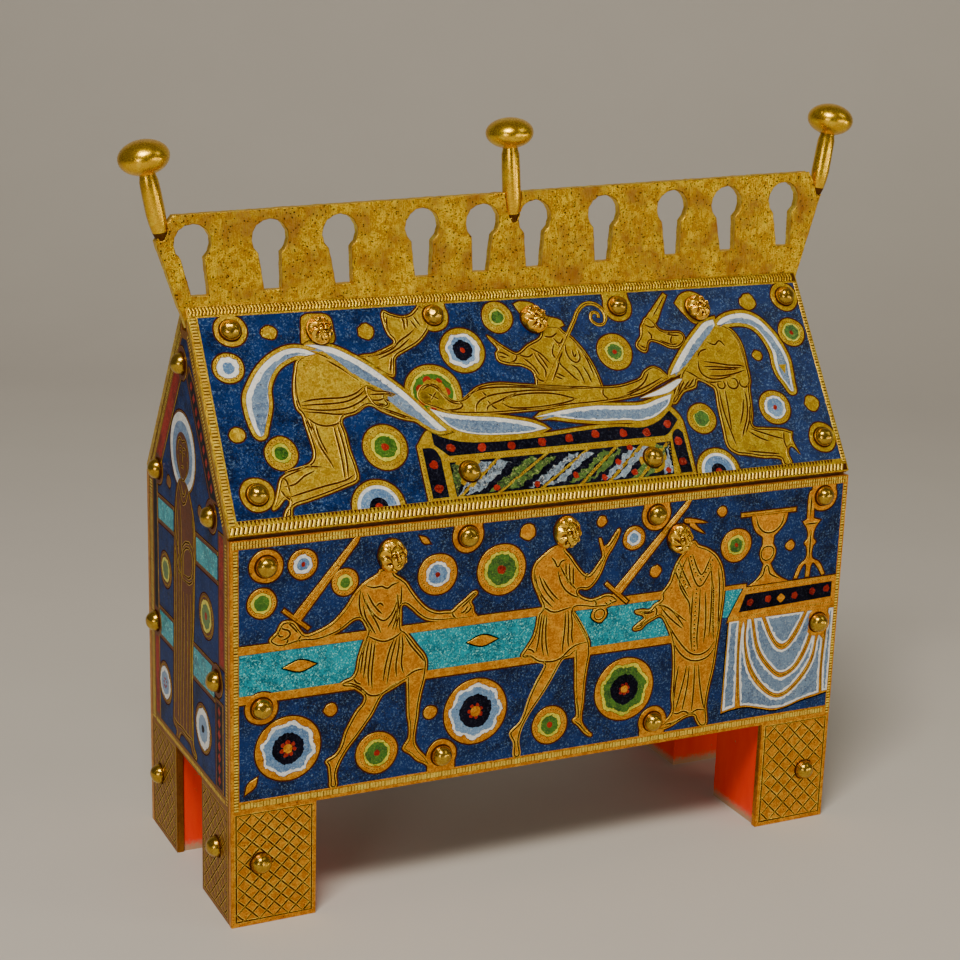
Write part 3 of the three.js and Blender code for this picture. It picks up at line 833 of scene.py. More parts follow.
RIGHT_SWORDSMAN_CUTS = [
    [(82.7, 84.3), (83.7, 83.2), (84.6, 81.7), (85.5, 83), (87, 83.3)],
    [(85.2, 81.9), (86.5, 79.5), (88.3, 77), (90, 75.2)],
    [(78.4, 80.5), (79, 77.5), (80.4, 74.8), (82, 72.8), (83.6, 71.3)],
    [(79.5, 80), (80.6, 77.2), (82.2, 74.7), (84.2, 72.4)],
    [(80.5, 79.2), (81.9, 76.8), (83.6, 74.6), (85.2, 73)],
    [(84.7, 80.6), (85.4, 78), (86.8, 75.6), (88.8, 73.9), (91.2, 72.8)],
    [(86.8, 82.5), (87, 79.5), (87.6, 77)],
    [(87.8, 82.2), (88, 79), (88.4, 76.4)],
    [(88.9, 81.2), (89, 78.8), (89.2, 76)],
    [(92.4, 77.3), (92.6, 78.2), (93.2, 79)],
    [(97.3, 82.2), (96.7, 81.7)],
    [(80.6, 70.8), (81.6, 71.2), (82.8, 70.4), (84.4, 69.9), (86.5, 70.2), (88.8, 70.7)],
    [(80.7, 69.8), (80.3, 66.5), (80, 63), (79.4, 60)],
    [(81.4, 69.6), (81, 66), (81, 62), (81.6, 58.8)],
    [(82.1, 69.6), (81.9, 66), (82.2, 61.5), (82.9, 58.4)],
    [(87.2, 69.7), (87.3, 66), (87, 62), (86.8, 58.9)],
    [(88, 69.9), (88.3, 66), (88.3, 62), (88.6, 60.2)],
    [(88.8, 69.9), (89.3, 66.5), (89.3, 63), (89.7, 61)],
    [(89.4, 69.4), (91.2, 66.6), (93.2, 63.2), (94, 61)],
    [(76.3, 59.6), (78, 59.2), (79.4, 58), (81.5, 57.2), (84.3, 56.9), (86.6, 57.5), (88.6, 59.2),
     (90.5, 60.3), (94, 60.8)],
    [(76.9, 61.2), (78.3, 60.6), (79, 59.8)],
    [(91.4, 46), (92.1, 43), (92.3, 40.4)],
    [(95.3, 71.7), (95.9, 70.8), (95.6, 70)],
    [(98.5, 70.7), (99.5, 69.6)],
    [(99.7, 71.3), (100.8, 70.1)],
    [(100.8, 71.8), (101.8, 70.7)],
    [(99.8, 86.8), (100.8, 88.2)]]
PRIEST = [
    (121.7, 82.3), (119.5, 80.1), (117.9, 76.9), (116.9, 73.8), (114.7, 71), (114.9, 69.5), (112.8, 68.3),
    (111.6, 67.2), (109.2, 67.5), (107.2, 67), (110, 65.3), (108.6, 64), (106.9, 62.4), (109.2, 62),
    (110.7, 63.2), (113, 64.3), (115, 64.7), (116.9, 61.8), (118.2, 58.7), (119.1, 54.9), (119.5, 48.6),
    (119.5, 42.3), (119.8, 37.9), (117.6, 35.4), (114.7, 34.1), (116.9, 33.2), (120.1, 33.8), (122.6, 35),
    (124.5, 35.7), (126.7, 35.7), (127.4, 34.4), (128.9, 32.4), (130.5, 32.4), (131.1, 33.5), (130.8, 36),
    (130.5, 38.5), (131.1, 43.5), (132.1, 48.6), (132.7, 54.9), (133.3, 61.2), (133.8, 67.5), (133.7, 71.9),
    (132.7, 76.3), (130.8, 79.5), (128, 81.7), (125.1, 82.9), (123.6, 84.2)]
PRIEST_CUTS = [
    [(114.6, 68.3), (117.4, 66.6), (120, 64), (122, 61.2)],
    [(128.9, 77.4), (129.7, 73), (129.9, 68), (130, 62), (129.8, 57.4)],
    [(118.1, 77.4), (120, 73.6), (122.8, 69.2)],
    [(119.6, 78.8), (121.4, 75.2), (123.6, 71.4)],
    [(121.8, 80), (120.5, 77), (120, 73), (121.5, 70), (123.2, 67.5), (123.7, 64)],
    [(114.8, 67.4), (117, 64.8), (119.5, 62.5), (121.6, 60.8)],
    [(114.9, 66), (117.5, 62), (120.3, 58), (123, 54.8), (125, 53.3), (127.5, 52.8), (130, 53.8),
     (131.6, 55.9)],
    [(113.6, 68.2), (116.5, 67.2), (119.5, 65), (122.7, 62.6)],
    [(118.6, 58.5), (121, 54.4), (124, 51.9), (127, 51.2), (130, 52), (132, 54.4)],
    [(124.2, 70.5), (124.1, 64), (124.4, 58), (124.8, 54.5)],
    [(126.3, 71), (126.4, 64), (126.2, 58), (126.6, 54.2)],
    [(122, 80), (123.2, 76.5), (124.6, 73.2), (126.2, 71.6), (128, 73.5), (129.6, 76.8)],
    [(123.4, 80.6), (124.4, 78), (125.5, 75.8), (126.6, 74.8), (128, 77.2), (128.9, 79.4)],
    [(129.4, 74), (130.4, 70), (130.6, 65), (131, 59.5), (131.3, 56.5)],
    [(131.4, 76), (132.1, 71), (132.3, 65), (132.4, 59)],
    [(127.9, 70), (128.4, 65), (128.6, 60), (128.3, 56)],
    [(123.6, 50.3), (122.9, 46), (121.8, 41.5), (121, 38.2)],
    [(124.4, 50), (124.2, 45), (123.4, 40), (123, 37.8)],
    [(126, 50), (126.2, 45), (126.1, 40.5), (125.9, 37.4)],
    [(127.2, 50), (127.9, 45), (129, 40), (129.7, 37.6)],
    [(121.2, 50.5), (120.6, 46), (120.4, 41)],
    [(120, 37.8), (121.5, 37.2), (123.6, 37.6), (125.5, 36.6), (127.6, 37.4), (130.4, 37)],
    [(118.2, 34.7), (120.5, 34.8), (123.5, 35.9)],
    [(108.4, 62.9), (110.5, 63.9), (112.8, 65.1)],
    [(109.2, 66.6), (111.2, 66.2), (113, 66.6)],
    [(113.1, 68), (113.7, 66.4), (113.3, 64.9)]]


def sword(work, hilt, point, near, reach, wide=1.25):
    """A broad sword: pommel, blade with two fullers, and a guard that stands at near along the grip."""
    hilt, point = Vector(hilt), Vector(point)
    run = (point - hilt).normalized()
    side = Vector((-run.y, run.x))
    grip = [hilt - run * 3.2 - side * 0.6, hilt + run * near - side * 0.6]
    grip += [hilt + run * near + side * 0.6, hilt - run * 3.2 + side * 0.6]
    reserve(work, grip, "gilt", -0.03)
    blade = [hilt + run * near - side * wide, point - run * 2.6 - side * wide * 0.62, point]
    blade += [point - run * 2.2 + side * wide * 0.55, hilt + run * near + side * wide]
    reserve(work, blade)
    for offset in (-0.42, 0.42):
        shift = side * wide * offset
        engrave(work, [hilt + run * (near + 1) + shift, point - run * 2.5 + shift * 0.4], 0.6, 0, steps=0)
    bar = hilt + run * near
    ends = [bar - side * reach - run * 0.5, bar - side * reach + run * 0.45]
    ends += [bar + side * reach + run * 0.45, bar + side * reach - run * 0.5]
    reserve(work, ends, "gilt", 0.02)
    engrave(work, [bar - side * reach * 0.85, bar + side * reach * 0.85], 0.5, 0.02, steps=0)


def wall_stripes(work, spans):
    """The turquoise band between two gilt strips, in the spans that figures leave free."""
    low, high = BAND
    for start, end in spans:
        inlay(work, slab(start, low, end, high), -0.05, "turquoise")
    for v in (low - STRIP, high + STRIP):
        reserve(work, slab(spans[0][0] - 0.8, v - STRIP, spans[-1][1] + 0.6, v + STRIP), "gilt", -0.02)


def altar(work):
    """The altar at the right: its patterned edge, the hanging cloth, the chalice and the candlestick."""
    chalice = [(140.6, 88.9, 1), (141.2, 86.6), (142.4, 84.4), (144.4, 82.9, 1), (144.6, 80.8, 1),
               (143.9, 78.9), (144.3, 76.8), (145.3, 75.4, 1), (144.6, 73), (143.2, 71.2), (141, 69.9, 1),
               (153.4, 69.9, 1), (151.2, 71), (148.9, 72.8), (147.4, 75.4, 1), (148.4, 76.8), (148.8, 78.9),
               (147.8, 80.8, 1), (147.9, 82.9, 1), (149.6, 84.4), (151.2, 86.4), (151.8, 88.9, 1)]
    lip = slab(137.4, 88.9, 154.2, 90)
    cuts = [[(142, 88.6), (142.9, 86), (145, 84.1), (147.8, 84.1), (150, 86), (150.6, 88.6)],
            [(143.2, 70.9), (145.2, 72.4), (146.3, 75), (147.4, 72.6), (150.6, 70.9)]]
    figure(work, chalice, cuts, gap=0)
    reserve(work, lip, "gilt", 0.02)
    scribe(work, ring(146.2, 78.4, 1.9))
    engrave(work, [Vector((138, 89.4)), Vector((153.6, 89.4))], 0.8, 0.02, 0)
    stick = [(157.9, 92.5), (158.7, 94.1), (159.5, 92.5), (160, 86.4, 1), (162.2, 85.7, 1), (160.6, 83.4),
             (160.3, 81), (161.2, 79.8), (160.4, 78.6), (160.4, 75.6), (162.8, 74), (164.8, 70.6, 1),
             (163.9, 70.2, 1), (162.2, 72.8), (160.6, 74), (159.9, 70.3, 1), (158.7, 70.3, 1), (158.5, 74),
             (157.2, 72.8), (156.1, 70.2, 1), (155, 70.3, 1), (156.4, 73.6), (158.5, 75.6), (158.4, 78.6),
             (157.6, 79.8), (158.5, 81), (158.2, 83.4), (156.7, 85.7, 1), (157.9, 86.4, 1)]
    cuts = [[(158.8, 87), (158.8, 92.6)], [(157.6, 85), (161.4, 85)], [(159.4, 83), (159.4, 75.4)]]
    figure(work, stick, cuts, gap=0)
    frame_line = [(139.7, 69.6, 1), (168.9, 69.9, 1), (168.9, 61.2, 1), (135.2, 60.4, 1), (135.6, 62.1, 1)]
    reserve(work, flow(frame_line), "gilt", -0.01)
    band = [(140.3, 67.7, 1), (167.4, 68.2, 1), (167.4, 63.9, 1), (138.5, 62.9, 1)]
    inlay(work, flow(band), 0, "black")
    for u, v in ((141.9, 65.3), (147.5, 65.6), (155.7, 65.6), (161.2, 66.1), (165.8, 66.3)):
        inlay(work, ring(u, v, 0.95, 5, 0.08), 0.012, "red")
    inlay(work, ring(151.4, 65.4, 1.15, 4, 0.1), 0.012, "gilt")
    punched(work, [(141, 68.8), (168, 69.1)], 0.8, 0.24, -0.01)
    punched(work, [(137, 61.6), (168, 62.3)], 0.8, 0.24, -0.01)
    altar_cloth(work)


def altar_cloth(work):
    """Pale blue cloth hung in swags: white lit edges beside the gilt fold lines."""
    cloth = [(135.6, 61.2, 1), (168.9, 61.2, 1), (168.9, 36.6, 1), (164.9, 35.8), (160.5, 35.2),
             (155.4, 33.9), (151.6, 33.6), (147.9, 34.5), (142.8, 35.8), (137.8, 35.6), (135, 35, 1)]
    reserve(work, flow(cloth), "gilt", -0.03)
    swags = [
        [(139.4, 60.8), (139.2, 52), (139.6, 46), (140, 40), (140.4, 36.6)],
        [(141.2, 60.6), (141, 54), (143.4, 46.8), (147.9, 40.6), (152.9, 37.6), (158, 40.2), (162.6, 46.1),
         (163.8, 53)],
        [(143, 60.2), (145.4, 51.6), (150.2, 45.4), (153.6, 43.4), (158, 45.9), (161.8, 54), (162.2, 60.4)],
        [(146.6, 60.4), (149.6, 54.4), (153, 51.4), (156.4, 54.2), (159.6, 60.4)],
        [(166.6, 60.6), (166.3, 52), (166, 44), (166.6, 37.4)]]
    lines = [flow(swag, False, 4) for swag in swags]
    fields = [
        [(136.3, 60.4, 1), (138.4, 60.4, 1), (138.4, 52), (138.7, 45), (138.9, 36.8, 1), (135.9, 36.2, 1)],
        [(140.3, 60.2, 1), (140.4, 54), (142.4, 46), (147.2, 39.7), (152.9, 36.6), (158.6, 39.4),
         (163.4, 45.8), (164.6, 53, 1), (165.4, 52, 1), (165.2, 44), (165.5, 37, 1), (160.4, 36.2),
         (155.4, 34.8), (151.6, 34.6), (147.9, 35.5), (142.8, 36.8), (141.4, 36.9, 1), (141, 40),
         (140.4, 46), (140.1, 52)],
        [(141.9, 60.2, 1), (141.9, 54.6), (144.1, 47.4), (148.4, 41.5), (152.9, 38.7), (157.4, 41.1),
         (161.7, 46.8), (162.9, 53), (162.9, 60, 1), (162.8, 53.6), (158.9, 45.3), (153.6, 42.3),
         (149.6, 44.5), (144.6, 51), (142.2, 60.2, 1)],
        [(144, 60.2, 1), (146.2, 52.2), (150.6, 46.4), (153.6, 44.6), (157.2, 46.6), (160.8, 54),
         (161.2, 60.2, 1), (160.6, 60.2, 1), (157.3, 53.4), (153, 50.2), (148.8, 53.8), (145.6, 60.2, 1)],
        [(147.7, 60.2, 1), (150.4, 55), (153, 52.8), (155.6, 55), (158.5, 60.2, 1)],
        [(167.5, 60.2, 1), (168.2, 60.2, 1), (168.2, 37.4, 1), (167.3, 37.4, 1), (166.9, 44), (167.2, 52)]]
    for field in fields:
        line = inset(wound(flow(field)), -0.4)
        inlay(work, inset(line, -SEAM), -0.02, "groove", bevel=0.01)
        inlay(work, line, -0.012, "white")
        core = [spot for spot in inset(line, 0.6) if gap_to(line, spot) > 0.48]
        if len(core) > 6 and area(core) > 2:
            inlay(work, wander(core, 0.45, 0.5, 1.7), -0.004, "cloth")
    for line in lines:
        engrave(work, line, 0.5, -0.03, 0)


def front_plate():
    """Two swordsmen come from the left upon a priest, who stands before the altar."""
    work = Work("front_plate", FRONT)
    window = slab(BORDER, SILL, LENGTH - 1.5, WALL - BORDER)
    copper(work, "plate_front", window, "gilt")
    hatch(work, (0.4, WALL - 0.55), (LENGTH - 0.4, WALL - 0.55), 0.42, 0.72, 0.05)
    hatch(work, (0.4, WALL - 1.5), (LENGTH - 0.4, WALL - 1.5), 0.42, 0.72, -0.05)
    hatch(work, (1.3, HEM), (1.3, WALL - 2.3), 0.55, 0.75)
    hatch(work, (LENGTH - 0.85, HEM), (LENGTH - 0.85, WALL - 2.3), 0.45, 0.75)
    hatch(work, (2.4, 31.4), (LENGTH - 2.4, 31.4), 0.7, 0.8, 0, 0.88)
    wall_stripes(work, [(BORDER, 36), (42, 84), (88, 120)])
    corner = [(134, 69.4, 1), (139.3, 69.4, 1), (137, 64.5, 1), (135.6, 62, 1), (133, 62, 1)]
    inlay(work, flow(corner), -0.05, "turquoise")
    reserve(work, slab(133.4, 69.4, 140.4, 70.6), "gilt", -0.02)
    inlay(work, slab(119, SILL, 135, 60), -0.065, "blue")
    front_rosettes(work)
    for u in (17.1, 64.6):
        reserve(work, flow([(u - 4.3, 65, 1), (u, 66.5), (u + 4.2, 65, 1), (u, 63.6)]), "gilt", -0.01)
    sword(work, (15.2, 75.6), (32.4, 96.2), 1.4, 4.2)
    figure(work, LEFT_SWORDSMAN, LEFT_SWORDSMAN_CUTS)
    sword(work, (99.3, 70.2), (122.6, 96), 3.6, 4.4)
    figure(work, RIGHT_SWORDSMAN, RIGHT_SWORDSMAN_CUTS)
    boss(work, 97, 67.7, 2.2)
    scribe(work, ring(97, 67.7, 1.5), -0.01)
    spikes = [
        [(120.6, 90.3), (124, 89.8), (127.5, 88.6, 1), (124, 88.8), (120.6, 89.2)],
        [(122.8, 89.3), (124.6, 87.6), (127, 85.6, 1), (124, 87), (122, 88.5)]]
    for spike in spikes:
        reserve(work, flow(spike))
    figure(work, PRIEST, PRIEST_CUTS)
    trims = [
        [(125.2, 71), (125.2, 64), (125.3, 58), (125.7, 54)],
        [(122.8, 80), (124, 76.6), (126.4, 73.2)],
        [(126.4, 73.2), (128.6, 76.6), (129.6, 78.6)],
        [(118.9, 78), (120.6, 74.8), (122.7, 71)],
        [(130.3, 70), (130.6, 64), (130.9, 58)]]
    for trim in trims:
        punched(work, flow(trim, False), 1.2, 0.44)
    altar(work)
    foot = foot_width(work, "plate_front")
    for u, pitch in ((0, 3.7), (LENGTH - foot, 4.5)):
        lozenges(work, u + 1.2, 1.4, u + foot - 1.2, HEM - 1, pitch)
    work.piece("enamelled_copper", "plate_front")


def foot_width(work, node):
    """How wide a plate's foot is, from the notch in its CAD outline."""
    floor = sorted(spot.x for spot in work.face.loops(node)[0] if spot.y < 0.1)
    return floor[1] - floor[0]


FRONT_ROSETTES = [
    (17.7, 90, 3.6, 0, "white, sky, red", 2.3, 1.5, 0.6),
    (7.6, 81.6, 3.6, 0, "yellow, green", 2.5, 1.9),
    (28.2, 84.4, 3.4, 0, "yellow, green", 2.1, 1.4),
    (52.1, 83.5, 5.2, 0, "white, sky, red", 3.2, 2.6, 0.7),
    (69.1, 82.8, 6.5, 0, "yellow, green, red", 4.5, 3.7, 1.1),
    (105.9, 86.8, 3.1, 0, "white, sky", 1.9, 1.3),
    (136.4, 81.5, 4.5, 0, "yellow, green, red", 2.7, 2, 0.6),
    (14.2, 44.5, 8.2, 8, "white, sky, black, red, gilt", 6.7, 5.9, 4, 2, 1.2),
    (63.2, 46.7, 8.6, 8, "white, sky, black, red, gilt", 7.1, 6.3, 4.2, 2, 1.3),
    (105.3, 46.4, 8.5, 7, "yellow, green, black, red, gilt", 6.9, 6.1, 4.1, 1.5, 1),
    (37, 39.8, 5.4, 0, "yellow, green, red", 3.4, 2.8, 0.8),
    (84.1, 39.8, 5, 0, "yellow, green, red", 3.3, 2.6, 0.9)]


def front_rosettes(work):
    """What lies strewn over the blue ground: rosettes, dots, leaves and the grounds of the nails."""
    rosettes(work, FRONT_ROSETTES, "gilt")
    for u, v, radius in ((75.9, 91.6, 2.1), (96.5, 92.1, 1.4), (131.5, 91.1, 1.4), (153.2, 79.7, 1.4),
                         (112.8, 77.2, 1.6), (24.9, 52.8, 1.7)):
        boss(work, u, v, radius)
    leaves = [
        [(47, 93.8, 1), (49, 93), (50, 91.5, 1), (48.3, 91.7)],
        [(49.3, 49), (51, 49.9), (52.8, 48.6), (51.6, 46.6), (49.6, 47)],
        [(3.4, 34.2, 1), (4.2, 37), (6.6, 38.4, 1), (6, 36)]]
    for leaf in leaves:
        reserve(work, flow(leaf), "gilt", -0.01)
    tabs = ((59.9, WALL), (112.1, WALL), (54.2, 32), (114.2, 32), (7.6, 58.4), (162.6, WALL))
    nail_grounds(work, "nail_front", tabs)


def nail_grounds(work, stem, tabs, finish="gilt"):
    """The round reserves left for nails, and the tabs that tie some of them to a border."""
    radius, half = 4.1, 3.7
    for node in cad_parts:
        if not node.startswith(stem):
            continue
        low, high = work.face.reach(node)
        middle = (low + high) / 2
        if middle.y < HEM + 2 and work.face not in (ROOF, ROOF_BACK):
            continue
        reserve(work, ring(middle.x, middle.y, radius), finish, -0.005)
        for u, v in tabs:
            if abs(u - middle.x) < 1 and abs(v - middle.y) < 8:
                box = slab(u - half, min(v, middle.y), u + half, max(v - 1.9, middle.y))
                reserve(work, box, finish, -0.012)


# -------------------- front roof plate: the entombment

def core_of(line, thin=0.4, thick=1):
    """The line drawn in, further along its upper edges, so that a pale edge shows where light would fall."""
    edge = wound(line)
    count = len(edge)
    core = []
    for i, spot in enumerate(edge):
        run = (edge[(i + 1) % count] - edge[i - 1]).normalized()
        side = Vector((-run.y, run.x))
        share = max(0, min(1, 0.5 - 0.9 * side.y + 0.3 * side.x))
        moved = spot + side * (thin + (thick - thin) * share)
        if gap_to(edge, moved) > thin * 0.9:
            core.append(moved)
    return core


def shroud(work, outline, margin=1.1, finish="roof gilt", lift=0, shade=(0, 0)):
    """A length of white cloth: a gilt hem, then white enamel shaded with pale blue."""
    line = wound(flow(outline))
    if margin:
        reserve(work, inset(line, -margin), finish, lift)
    inlay(work, inset(line, -0.1), lift + 0.004, "groove", bevel=0.01)
    inlay(work, line, lift + 0.01, "white")
    core = core_of(line)
    if len(core) > 6 and abs(area(core)) > 2:
        core = [spot + Vector(shade) for spot in core]
        inlay(work, wander(core, 0.34, 0.5, 1.5), lift + 0.018, "cloth")


LEFT_BEARER = [
    (28, 43), (24.5, 41.5), (23.3, 38.8), (22.2, 35), (21.8, 31.5), (22, 29.2), (23, 27.7), (23.2, 25.4),
    (23.7, 21.6), (23.9, 18.1), (23, 16.2), (20.7, 15.1), (16.8, 13.9), (14.7, 12.8), (13.4, 10.1),
    (12.2, 7.4), (11.3, 5.4), (12.6, 5.6), (15.3, 7.8), (15.6, 6.4), (14.5, 5.1), (13.8, 3.2), (15.6, 3.2),
    (16.5, 5.5), (20.3, 6.5), (24.9, 7.6), (30.6, 9.2), (33.7, 10.5), (33.9, 13.9), (33.3, 17.8),
    (33.1, 22.3), (32.9, 25.8), (36.4, 26.9), (40.2, 28.7), (43.2, 26.9), (47.8, 24.6), (51.3, 23.5),
    (53.8, 21.6), (55.6, 22.6), (51, 27.6), (48, 31), (45, 34), (41, 37), (37, 40.4), (33, 43.2)]
LEFT_BEARER_CUTS = [
    [(23.6, 38.4), (22.9, 35), (22.7, 32), (23.1, 29.4)],
    [(23.6, 30.8), (26, 31.2), (30, 31.3), (34, 31.2), (37.5, 32), (39.6, 33.4)],
    [(23.4, 30), (27, 30), (31, 29.9), (35, 30.2), (38.2, 31.4), (40, 32.7)],
    [(23.4, 29.3), (27, 28.6), (31, 28.3), (35, 28.6), (38.6, 30), (41.4, 31.9), (43, 32.4)],
    [(23.8, 28.4), (28, 27.8), (32, 27.1), (36, 27.3), (39.6, 29)],
    [(24.2, 27), (25.5, 25.6), (27.6, 24.6), (30, 24.5), (32, 25.2), (32.8, 26.6)],
    [(23.8, 27), (24.6, 24), (25.7, 20), (27.3, 16.5), (28.2, 13.8)],
    [(24.7, 26.2), (25.4, 22), (26.5, 18), (28, 14.7)],
    [(25.8, 25), (26.3, 21), (27.4, 17.6)],
    [(30.2, 24.4), (30.5, 20), (30.6, 15), (30.3, 10.9)],
    [(31.2, 24.6), (31.7, 20), (31.7, 15), (31.2, 11.2)],
    [(16, 14), (19, 14.5), (22, 14.9), (25.4, 14.5)],
    [(15.2, 10.6), (18, 11), (20.4, 12.6), (23.4, 13.8)],
    [(16.3, 9), (16, 12), (15, 12.8)],
    [(16.2, 8), (19.5, 8.7), (25, 9.8), (30.4, 10.7), (33, 12)],
    [(14.2, 9.8), (15, 8.4), (16.4, 7)],
    [(29.8, 42.8), (33, 41.2), (36.5, 38.6), (39, 36.2), (41.6, 34)],
    [(32, 40.8), (35.6, 38.2), (39, 35.2)],
    [(40, 33.6), (42.5, 31.9), (46, 31), (48, 30.6)],
    [(40.6, 29.2), (43, 27.9), (46, 26.6), (49, 25.2), (52, 24)],
    [(41.8, 31.8), (44.5, 30), (47, 28.7), (50, 26)]]
LEFT_ARM = [
    (40, 40.8), (44.4, 41.9), (48.6, 43.4), (50.1, 44.5), (49, 46.4), (48.4, 49.1), (48.8, 52.6),
    (50.9, 51.8), (53.6, 51), (55.9, 51.4), (57.8, 52.9), (58.9, 53.7), (60.4, 52), (60.4, 48),
    (59.2, 46.1), (56.6, 43.8), (52.8, 41.9), (49.8, 40.3), (49, 37.6), (48, 35.4), (45, 37)]
LEFT_ARM_CUTS = [
    [(42.6, 41), (46, 41.5), (49.4, 42.7), (51.8, 44.6), (54, 45.8), (56, 47.2)],
    [(45, 40.2), (48, 41.3), (51.4, 42.9), (54.4, 45)],
    [(53.5, 47.4), (53.8, 49.4), (53.3, 50.8)],
    [(54.4, 48), (54.8, 49.8), (54.6, 51)],
    [(49.6, 51), (49.2, 48.5), (49.6, 46.5)],
    [(55.6, 49.8), (57, 47.4)],
    [(56.6, 50.8), (58, 48)],
    [(48.6, 40.4), (48, 38.4), (47.4, 36.8)]]
LEFT_HAND = [
    (40.2, 33.4), (42.6, 32.6), (45.4, 32.2), (48.9, 31.1, 1), (46.6, 30.2), (44.8, 30.5), (45.4, 28.6),
    (44, 27.8), (41.4, 28.8)]
LEFT_HAND_CUTS = [
    [(41, 31.4), (43.4, 31.3), (45.8, 31.2), (47.6, 31)],
    [(41.2, 30), (43, 29.8), (44.6, 30.2)],
    [(42.4, 28.9), (44.4, 28.6)]]
BODY_OF_SAINT = [
    (53, 29.6), (53.2, 31.1), (54.7, 32.7), (57, 33.3), (58.9, 32.7), (60.4, 30.4), (61.9, 28.7),
    (63.8, 28.3), (65.7, 28.8), (68.4, 30.8), (71.1, 31.7), (75.7, 31.9), (79.9, 31.3), (85.2, 30.6),
    (89.4, 30), (97.1, 29.6), (104, 28.7), (108.6, 28.7), (111.6, 29.2), (115, 30.2), (116.6, 31.9),
    (119.3, 33), (121.3, 32.3), (122.8, 30.7), (124, 29.4, 1), (119.7, 27.8), (115, 25.8), (110, 25),
    (108.6, 24.8), (100.9, 24.4), (93.3, 24.3), (85.6, 23.9), (73.4, 23.9), (67.6, 24.2), (60.7, 25),
    (57, 26.6), (54.4, 27.8)]
BODY_CUTS = [
    [(64.6, 28.2), (67, 29.5), (69.5, 30.4), (72.5, 30.7), (78, 30.5), (83, 30), (88, 29.4), (95, 28.9),
     (101, 28.2)],
    [(67.5, 24.8), (68.2, 26.6), (70, 28), (73, 28.8), (77, 29.1), (83, 29.2), (90, 28.7), (96, 28.3)],
    [(70.3, 24.5), (71.2, 26), (74, 27), (77, 28), (79.6, 28.8)],
    [(75.1, 26.9), (78, 28), (82, 28.4), (87, 28.2), (91, 27.5), (94, 26.5), (95.8, 25.9)],
    [(75, 26.5), (77, 25.2), (80, 24.8), (85, 24.7), (90, 25), (94, 25.6), (95.6, 26.2)],
    [(70.4, 29.8), (71.6, 28.3)],
    [(71.3, 27.4), (72.4, 25.8), (73.4, 25)],
    [(103.8, 28.2), (103.4, 26.5), (104.8, 25)],
    [(104.4, 25), (109, 25.5), (113, 26.7), (117, 28), (121.4, 29.8)],
    [(110, 26.3), (113.5, 27.4), (116, 29), (117.8, 31.4)],
    [(56, 30.5), (58.5, 28.8)],
    [(56.5, 28.8), (58.2, 30.7)],
    [(58.8, 26), (61, 25.8), (63.4, 26), (64.4, 26.8), (63.6, 28)],
    [(54.6, 31.4), (57, 32.5), (59.2, 31), (60.4, 29), (62, 27.6), (64.4, 27)]]
BISHOP = [
    (91.2, 45.6), (89.4, 43), (85.6, 41.3), (82.6, 39.4), (81.4, 39.6), (78, 42.2), (75.3, 44.5),
    (75.7, 43.2), (77.2, 40.7), (76.4, 39.6), (76.6, 37.6), (78.7, 36.5), (81, 36.1), (82.9, 35.7),
    (85.2, 34.2), (85.6, 32.3), (85.2, 30, 1), (104, 28, 1), (103.6, 31.1), (102.8, 34.6), (101.3, 38.4),
    (99.4, 41.5), (98.2, 43), (96.7, 44.1), (95.4, 45.6)]
BISHOP_CUTS = [
    [(90.8, 43.2), (92.8, 42.9), (94.6, 43.9)],
    [(96, 42.4), (94.6, 41), (93.2, 42.6)],
    [(90.2, 31.2), (92, 33.8), (93, 36), (92, 38.4), (93, 41)],
    [(94.1, 41), (94.7, 38.6), (93.3, 36.1), (94.6, 34), (96.4, 31.8), (97.6, 30.6)],
    [(85.8, 33.2), (86.6, 31.8), (88.4, 31)],
    [(82.6, 38.8), (85, 38), (86.6, 38.8)],
    [(83.6, 37.8), (85.8, 35.6), (87, 33)],
    [(86.8, 39), (87.7, 36.6), (88.9, 34.2), (88.5, 32)],
    [(87.8, 38.8), (89, 36.6), (89.8, 34.6)],
    [(86.1, 40.4), (88.7, 38.6), (90.6, 36)],
    [(98.8, 41.2), (100.4, 38.6), (101.4, 35.5), (102.1, 31.6)],
    [(96.2, 41), (95.9, 38.6), (96.7, 36.4), (98.2, 35.6), (99.4, 36.8), (99.2, 39)],
    [(97.7, 39), (97.9, 37.2), (98.6, 38)],
    [(96.4, 35.2), (97.8, 34), (98.6, 32), (99, 30)],
    [(99.6, 34.6), (100.6, 32), (101, 30)],
    [(91.2, 32.4), (93.2, 31.4)],
    [(91.7, 33.3), (94, 31.9)],
    [(77, 40), (78.6, 39.4), (80, 38.4)],
    [(77.2, 38.8), (79, 38.2)],
    [(79.6, 36.9), (81, 37.2), (81.9, 38.2), (81.7, 39.2)]]
RIGHT_BEARER = [
    (141.5, 43.2), (145.2, 42), (147.2, 39.3), (147.9, 35.8), (147.7, 31.1), (147.5, 27.2), (146.6, 24.9),
    (146, 21), (145.2, 17.1), (144.6, 14.7), (147.4, 13.9), (152.8, 13.2), (155.9, 12, 1), (155.3, 9.7),
    (156.5, 5.6, 1), (154.4, 8.1), (153, 6.5), (153.2, 3.2), (150.6, 3.2), (150.1, 5), (145, 5.8),
    (140.4, 6.9), (137.6, 7.5), (135.3, 9.7), (135.3, 14.7), (135.5, 21), (135.9, 25.3), (134.9, 26.4),
    (131.8, 28.2), (130.6, 26.4), (126.7, 25.3), (122.6, 22.3), (124.4, 26), (126, 28.4), (127.6, 31),
    (131, 34), (135, 37.8)]
